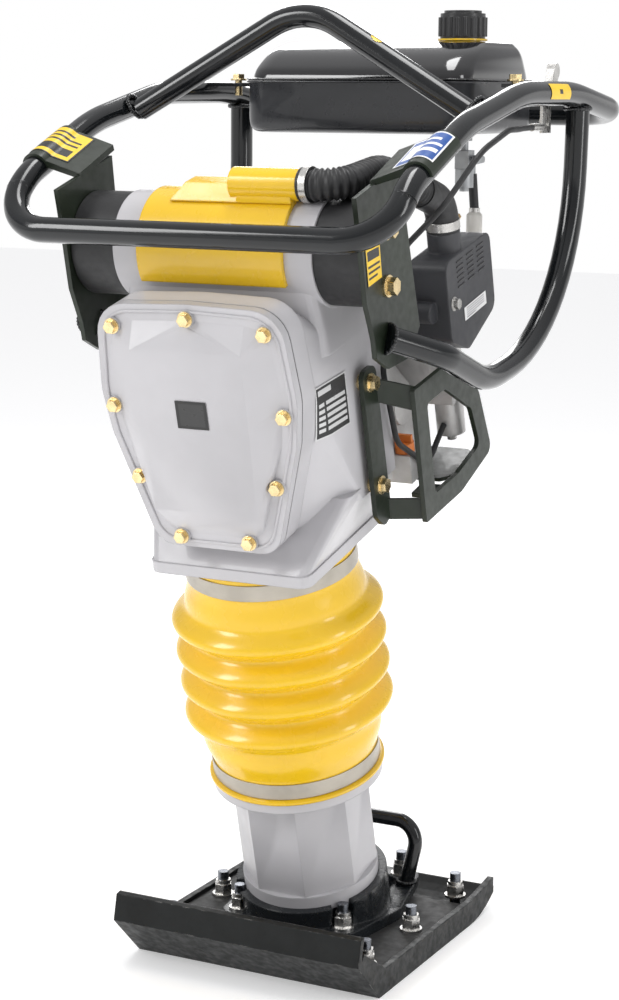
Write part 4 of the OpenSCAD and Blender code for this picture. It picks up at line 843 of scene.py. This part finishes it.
def clamp(name, centre, axis, radius, like, width=9.0):
    band = turned(name, [(radius, -width / 2), (radius + 0.9, -width / 2), (radius + 0.9, width / 2),
                         (radius, width / 2)], centre=lambda up: centre + axis * up * 0.001, sides=48,
                  across=axis.orthogonal().normalized(), other=axis.cross(axis.orthogonal().normalized()))
    return register(name, band, FINISH["zinc"], like)


clamp("elbow_clamp", leg(136, 190, 749), UP_LEG, 16.9, "intake_hose")
clamp("hose_clamp", leg(93, -1.8, 844.6), LEFT, 16.5, "intake_hose", 7)
place_screws("clamp_screws", [(leg(136, 190, 749) + BACK * 0.018 + LEFT * 0.006, BACK)], "intake_hose",
             0.0036, 0.008, FINISH["brass"])
print("hose length:", round(sum((b - a).length for a, b in zip(hose_route, hose_route[1:])), 3))

# %% [markdown]
# ## Throttle cable and fuel line
# Both run from the handle to the engine, which rock against each other on the rubber mounts. Each keeps its
# real length on one smooth route, and rides on neither body.

# %% Cable and fuel line
def length_of(path):
    return sum((b - a).length for a, b in zip(path, path[1:]))


cable_route = evenly(bent_path([at(186.5, 122, 868), at(187, 60, 866), at(187, -10, 846), at(168, -60, 792),
        at(128, -62, 752), at(117, -84, 636), at(118, -50, 557), at(124, 12, 526), at(122, 56.4, 562)],
        [0, 0.06, 0.06, 0.03, 0.03, 0.04, 0.03, 0.03, 0], steps=8), 0.012)
cable = register("throttle_cable", tube_mesh("throttle_cable", cable_route, 0.003, 14), FINISH["rubber"],
                 "cables_hoses", ["cables_hoses"], ride=False)
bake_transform(cable)
fuel_route = evenly(bent_path([at(86, 211, 740), at(86, 211, 710), at(98, 140, 692), at(100, 68, 684.4)],
                              [0, 0.032, 0.036, 0], steps=10), 0.008)
fuel = register("fuel_line", tube_mesh("fuel_line", fuel_route, 0.004, 16), FINISH["rubber"],
                "cables_hoses", ride=False)
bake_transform(fuel)
register("fuel_line_sleeve", tube_mesh("fuel_line_sleeve", evenly([at(84, 208, 816), at(86, 211, 776)],
        0.006), 0.005, 18), FINISH["rubber"], "cables_hoses")
filter_body = turned("fuel_filter", [(2, 740), (5, 740), (8.4, 744), (8.8, 745), (8.8, 771), (8.4, 772),
        (5, 776), (2, 776)], centre=lambda up: at(86, 211, up), sides=32, other=Vector((0, 1, 0)))
register("fuel_filter", filter_body, FINISH["pale"], "cables_hoses")
clamp("fuel_clip", at(86, 211, 777), UPRIGHT, 5.2, "cables_hoses", 5)
print("cable", round(length_of(cable_route), 3), "fuel line", round(length_of(fuel_route), 3))

# %% [markdown]
# ## Starter rope
# The rope's first straight length leaves the pulley and ends in the grip. It rides on no body.

# %% Starter rope
rope_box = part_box("starter_rope")
rope_mid = [(rope_box[0][k] + rope_box[1][k]) / 2 for k in (0, 1)]
rope_line = evenly([Vector((*rope_mid, rope_box[0][2])), Vector((*rope_mid, rope_box[1][2]))], 0.004)
rope = register("starter_cord", tube_mesh("starter_cord", rope_line,
        lambda t: 0.0022 * (1 + 0.05 * math.sin(t * 60)), 14), FINISH["rope"], "starter_rope",
                ["starter_rope"], ride=False)
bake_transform(rope)
print("rope shown:", round(length_of(rope_line), 3))

# %% [markdown]
# ## Cover seam
# The front cover has a raised bead that follows its outline and two faint steps across its middle. The
# bead is a curve swept with Geometry Nodes, half sunk in the face.

# %% Cover bead
def cover_outline(inset, back):
    half = [(99 - inset, 752 - inset), (107 - inset, 664), (101 - inset, 620),
            (66 - 0.9 * inset, 504 + inset)]
    ring = [(0, 755.5 - inset)] + half + [(-x, up) for x, up in reversed(half)]
    radii = [200, 34 - inset / 2, 90, 60, 26 - inset / 3, 26 - inset / 3, 60, 90, 34 - inset / 2]
    return bent_path([leg(x, back, up) for x, up in ring], [r * 0.001 for r in radii], True, 10)


beadline, start, end = tree_with("bead along a line", {"Radius": ("Float", 0.0014),
        "Finish": ("Material", None)})
line = add(beadline, "GeometryNodeMeshToCurve", {"Mesh": start.outputs["Geometry"]}).outputs[0]
round_profile = add(beadline, "GeometryNodeCurvePrimitiveCircle",
                    {"Resolution": 12, "Radius": start.outputs["Radius"]}).outputs["Curve"]
swept = add(beadline, "GeometryNodeCurveToMesh", {"Curve": line, "Profile Curve": round_profile}).outputs[0]
finish_tree(beadline, swept, start, end)


def bead_along(name, path, radius, finish, like):
    mesh = bpy.data.meshes.new(name)
    n = len(path)
    mesh.from_pydata(path, [(i, (i + 1) % n) for i in range(n)], [])
    done = grow(name, mesh, beadline, {"Radius": radius, "Finish": finish})
    return register(name, all_smooth(done), finish, like)


bead_along("cover_bead", cover_outline(7, -98.2), 0.0016, FINISH["casting"], "front_cover")
print("bead tree nodes:", len(beadline.nodes))

# %% [markdown]
# ## Labels
# Labels are thin printed film. Each is a small grid dropped onto the part along a direction, so it follows
# a tube, a wrap or a flat plate, and it carries its own UV map. The print is plain blocks and bars: no words,
# marks or numbers.

# %% Printed film
def film(name, ground, ink, bars, frame_width=0.0, rough=0.32, metal=0.0):
    mat, tree, skin_node = shader(name)
    uv = add(tree, "ShaderNodeSeparateXYZ", {0: add(tree, "ShaderNodeTexCoord").outputs["UV"]})
    u, v = uv.outputs["X"], uv.outputs["Y"]

    def inside(u0, v0, u1, v1):
        a = calc(tree, "MULTIPLY", calc(tree, "GREATER_THAN", u, u0), calc(tree, "LESS_THAN", u, u1))
        b = calc(tree, "MULTIPLY", calc(tree, "GREATER_THAN", v, v0), calc(tree, "LESS_THAN", v, v1))
        return calc(tree, "MULTIPLY", a, b)

    mask = None
    for bar in bars:
        one = inside(*bar)
        mask = one if mask is None else calc(tree, "MAXIMUM", mask, one)
    if frame_width:
        edge = calc(tree, "SUBTRACT", 1.0, inside(frame_width, frame_width, 1 - frame_width, 1 - frame_width))
        mask = edge if mask is None else calc(tree, "MAXIMUM", mask, edge)
    tired = ramp(tree, grain(tree, 60, 4), (0.3, tuple(c * 0.9 for c in ground)), (0.7, ground))
    tree.links.new(mix_colour(tree, mask, tired, ink), skin_node.inputs["Base Color"])
    tree.links.new(between(tree, grain(tree, 200, 3), rough - 0.05, rough + 0.08),
                   skin_node.inputs["Roughness"])
    skin_node.inputs["Metallic"].default_value = metal
    return mat


def label(name, target, corners, direction, finish, like, lift=0.0005, across=14, down=14, round_shape=False):
    hit = skin_of(*target)
    direction = Vector(direction).normalized()
    bm = bmesh.new()
    layer = bm.loops.layers.uv.new("film")
    grid, spots = {}, {}
    for i in range(across + 1):
        for j in range(down + 1):
            u, v = i / across, j / down
            p = corners[0].lerp(corners[1], u).lerp(corners[3].lerp(corners[2], u), v)
            found, normal, _, _ = hit.ray_cast(p - direction * 0.05, direction, 0.12)
            if found is None:
                continue
            if normal.dot(direction) > 0:
                normal = -normal
            grid[i, j] = bm.verts.new(found + normal * lift)
            spots[grid[i, j]] = (u, 1 - v)
    for i in range(across):
        for j in range(down):
            four = [grid.get(k) for k in ((i, j), (i + 1, j), (i + 1, j + 1), (i, j + 1))]
            middle = ((i + 0.5) / across - 0.5) ** 2 + ((j + 0.5) / down - 0.5) ** 2
            if None in four or (round_shape and middle > 0.23):
                continue
            for corner in bm.faces.new(four).loops:
                corner[layer].uv = spots[corner.vert]
    bmesh.ops.delete(bm, geom=[v for v in bm.verts if not v.link_faces], context="VERTS")
    bm.normal_update()
    if bm.faces and bm.faces[:][0].normal.dot(direction) > 0:
        bmesh.ops.reverse_faces(bm, faces=bm.faces)
    return register(name, smooth_mesh(name, bm), finish, like)


YELLOW, INK, SILVER, BLUE, WHITE = (0.88, 0.58, 0.02), (0.012, 0.012, 0.012), (0.55, 0.55, 0.55), (0.02,
        0.09, 0.34), (0.82, 0.82, 0.82)
plate_film = film("nameplate film", INK, SILVER, [(0.08, 0.82, 0.5, 0.92)]
                  + [(0.3, 0.12 + 0.12 * k, 0.92, 0.19 + 0.12 * k) for k in range(5)]
                  + [(0.08, 0.12 + 0.12 * k, 0.24, 0.19 + 0.12 * k) for k in range(5)], 0.03, 0.3, 0.2)
notice = film("yellow notice film", YELLOW, INK, [(0.1, 0.62, 0.9, 0.86), (0.1, 0.44, 0.9, 0.5),
        (0.1, 0.3, 0.9, 0.36), (0.1, 0.16, 0.7, 0.22)], 0.03)
blue_notice = film("blue notice film", BLUE, WHITE, [(0.08, 0.2, 0.34, 0.8), (0.42, 0.62, 0.92, 0.74),
        (0.42, 0.42, 0.92, 0.5), (0.42, 0.22, 0.8, 0.3)], 0.04)
small_notice = film("small yellow film", YELLOW, INK, [(0.42, 0.35, 0.58, 0.65)])
round_notice = film("round film", YELLOW, INK, [(0.3, 0.44, 0.7, 0.56)])
white_notice = film("white film", WHITE, (0.16, 0.16, 0.18),
                    [(0.1, 0.3 + 0.17 * k, 0.9, 0.36 + 0.17 * k) for k in range(4)]
                    + [(0.1, 0.12, 0.5, 0.2)])
case = castings["crankcase"]
label("maker_plate", [case], [leg(104, -58, 663), leg(112, -7, 663), leg(112, -7, 609), leg(104, -58, 609)],
      (-1, 0.12, 0), plate_film, "crankcase", 0.0009)
label("badge_plate", [castings["front_cover"]], [leg(-17, -120, 664), leg(17, -120, 664),
        leg(17, -120, 636), leg(-17, -120, 636)], BACK, film("plain badge", INK, (0.03, 0.03, 0.03),
        [(0.1, 0.1, 0.9, 0.9)]), "front_cover", 0.0008)
plates = solids["side_plates"]
label("right_plate_notice", [plates], [at(163, -221, 763), at(163, -190, 768), at(163, -183, 733),
        at(163, -213, 725)], (-1, 0, 0), notice, "side_plates")
label("left_wrap_notice", [plates, loop], [at(-224, -198, 840), at(-178, -198, 840), at(-178, -148, 862),
        at(-224, -148, 862)], (0.3, 0.45, -0.9), notice, "side_plates", across=24)
label("right_wrap_notice", [plates, loop], [at(180, -198, 840), at(219, -198, 840), at(219, -148, 862),
        at(180, -148, 862)], (-0.3, 0.45, -0.9), blue_notice, "side_plates", across=24)
label("tube_notice", [loop], [at(220, 92, 912), at(220, 146, 912), at(220, 146, 897), at(220, 92, 897)],
      (-1, 0, 0), small_notice, "handle_loop")
label("arch_notice", [arch], [at(78, -42, 966), at(94, -42, 957), at(91, -42, 948), at(75, -42, 957)],
      (0, 1, 0), round_notice, "lifting_bar", round_shape=True)
box_side = castings["air_box"]
label("air_box_notice", [box_side], [leg(156, 180, 664), leg(156, 236, 664), leg(156, 236, 650),
        leg(156, 180, 650)], (-1, 0, 0), white_notice, "air_box")
print("labels done")

# %% [markdown]
# ## Louvres
# The air box has a patch of slots to let warm air out. A grid of points carries one slot each; a slot is only
# a dark sliver with rounded ends, so a few faces are plenty. The sliver's dark colour is painted shade: it
# stands for the shadow inside each opening.

# %% Louvre slots
louvre, start, end = tree_with("louvre patch", {"Width": ("Float", 0.06), "Height": ("Float", 0.03),
        "Columns": ("Int", 3), "Rows": ("Int", 6), "Slot": ("Vector", (0.016, 0.0016, 0.0012)),
        "Finish": ("Material", None)})
spread = add(louvre, "GeometryNodeMeshGrid", {"Size X": start.outputs["Width"],
        "Size Y": start.outputs["Height"], "Vertices X": start.outputs["Columns"],
        "Vertices Y": start.outputs["Rows"]}).outputs["Mesh"]
# Each slot is a thin dark box: painted shade for the vent opening.
shade_sliver = add(louvre, "GeometryNodeMeshCube", {"Size": start.outputs["Slot"]}).outputs["Mesh"]
set_out = add(louvre, "GeometryNodeInstanceOnPoints", {"Points": spread, "Instance": shade_sliver}).outputs[0]
finish_tree(louvre, set_out, start, end)


def louvre_patch(name, centre, across, upwards, like, finish, **sizes):
    mesh = grow(name, bpy.data.meshes.new(name), louvre, {**{k.title(): v for k, v in sizes.items()},
            "Finish": finish})
    out = across.cross(upwards)
    mesh.transform(Matrix.Translation(centre) @ Matrix((across, upwards, out)).transposed().to_4x4())
    return register(name, mesh, finish, like)


# The slots take the darker smooth black, which is painted shade for the openings rather than a colour of the
# box.
louvre_patch("air_box_louvres", leg(156, 205, 702), BACK, UP_LEG, "air_box", FINISH["cap"], width=0.052,
             height=0.026, columns=3, rows=6)
place_screws("air_box_bolts", [(leg(156, 158, 676), LEFT), (leg(135, 260, 690), BACK)], "air_box", 0.0056,
             0.006, FINISH["zinc"])
print("louvre tree nodes:", len(louvre.nodes))
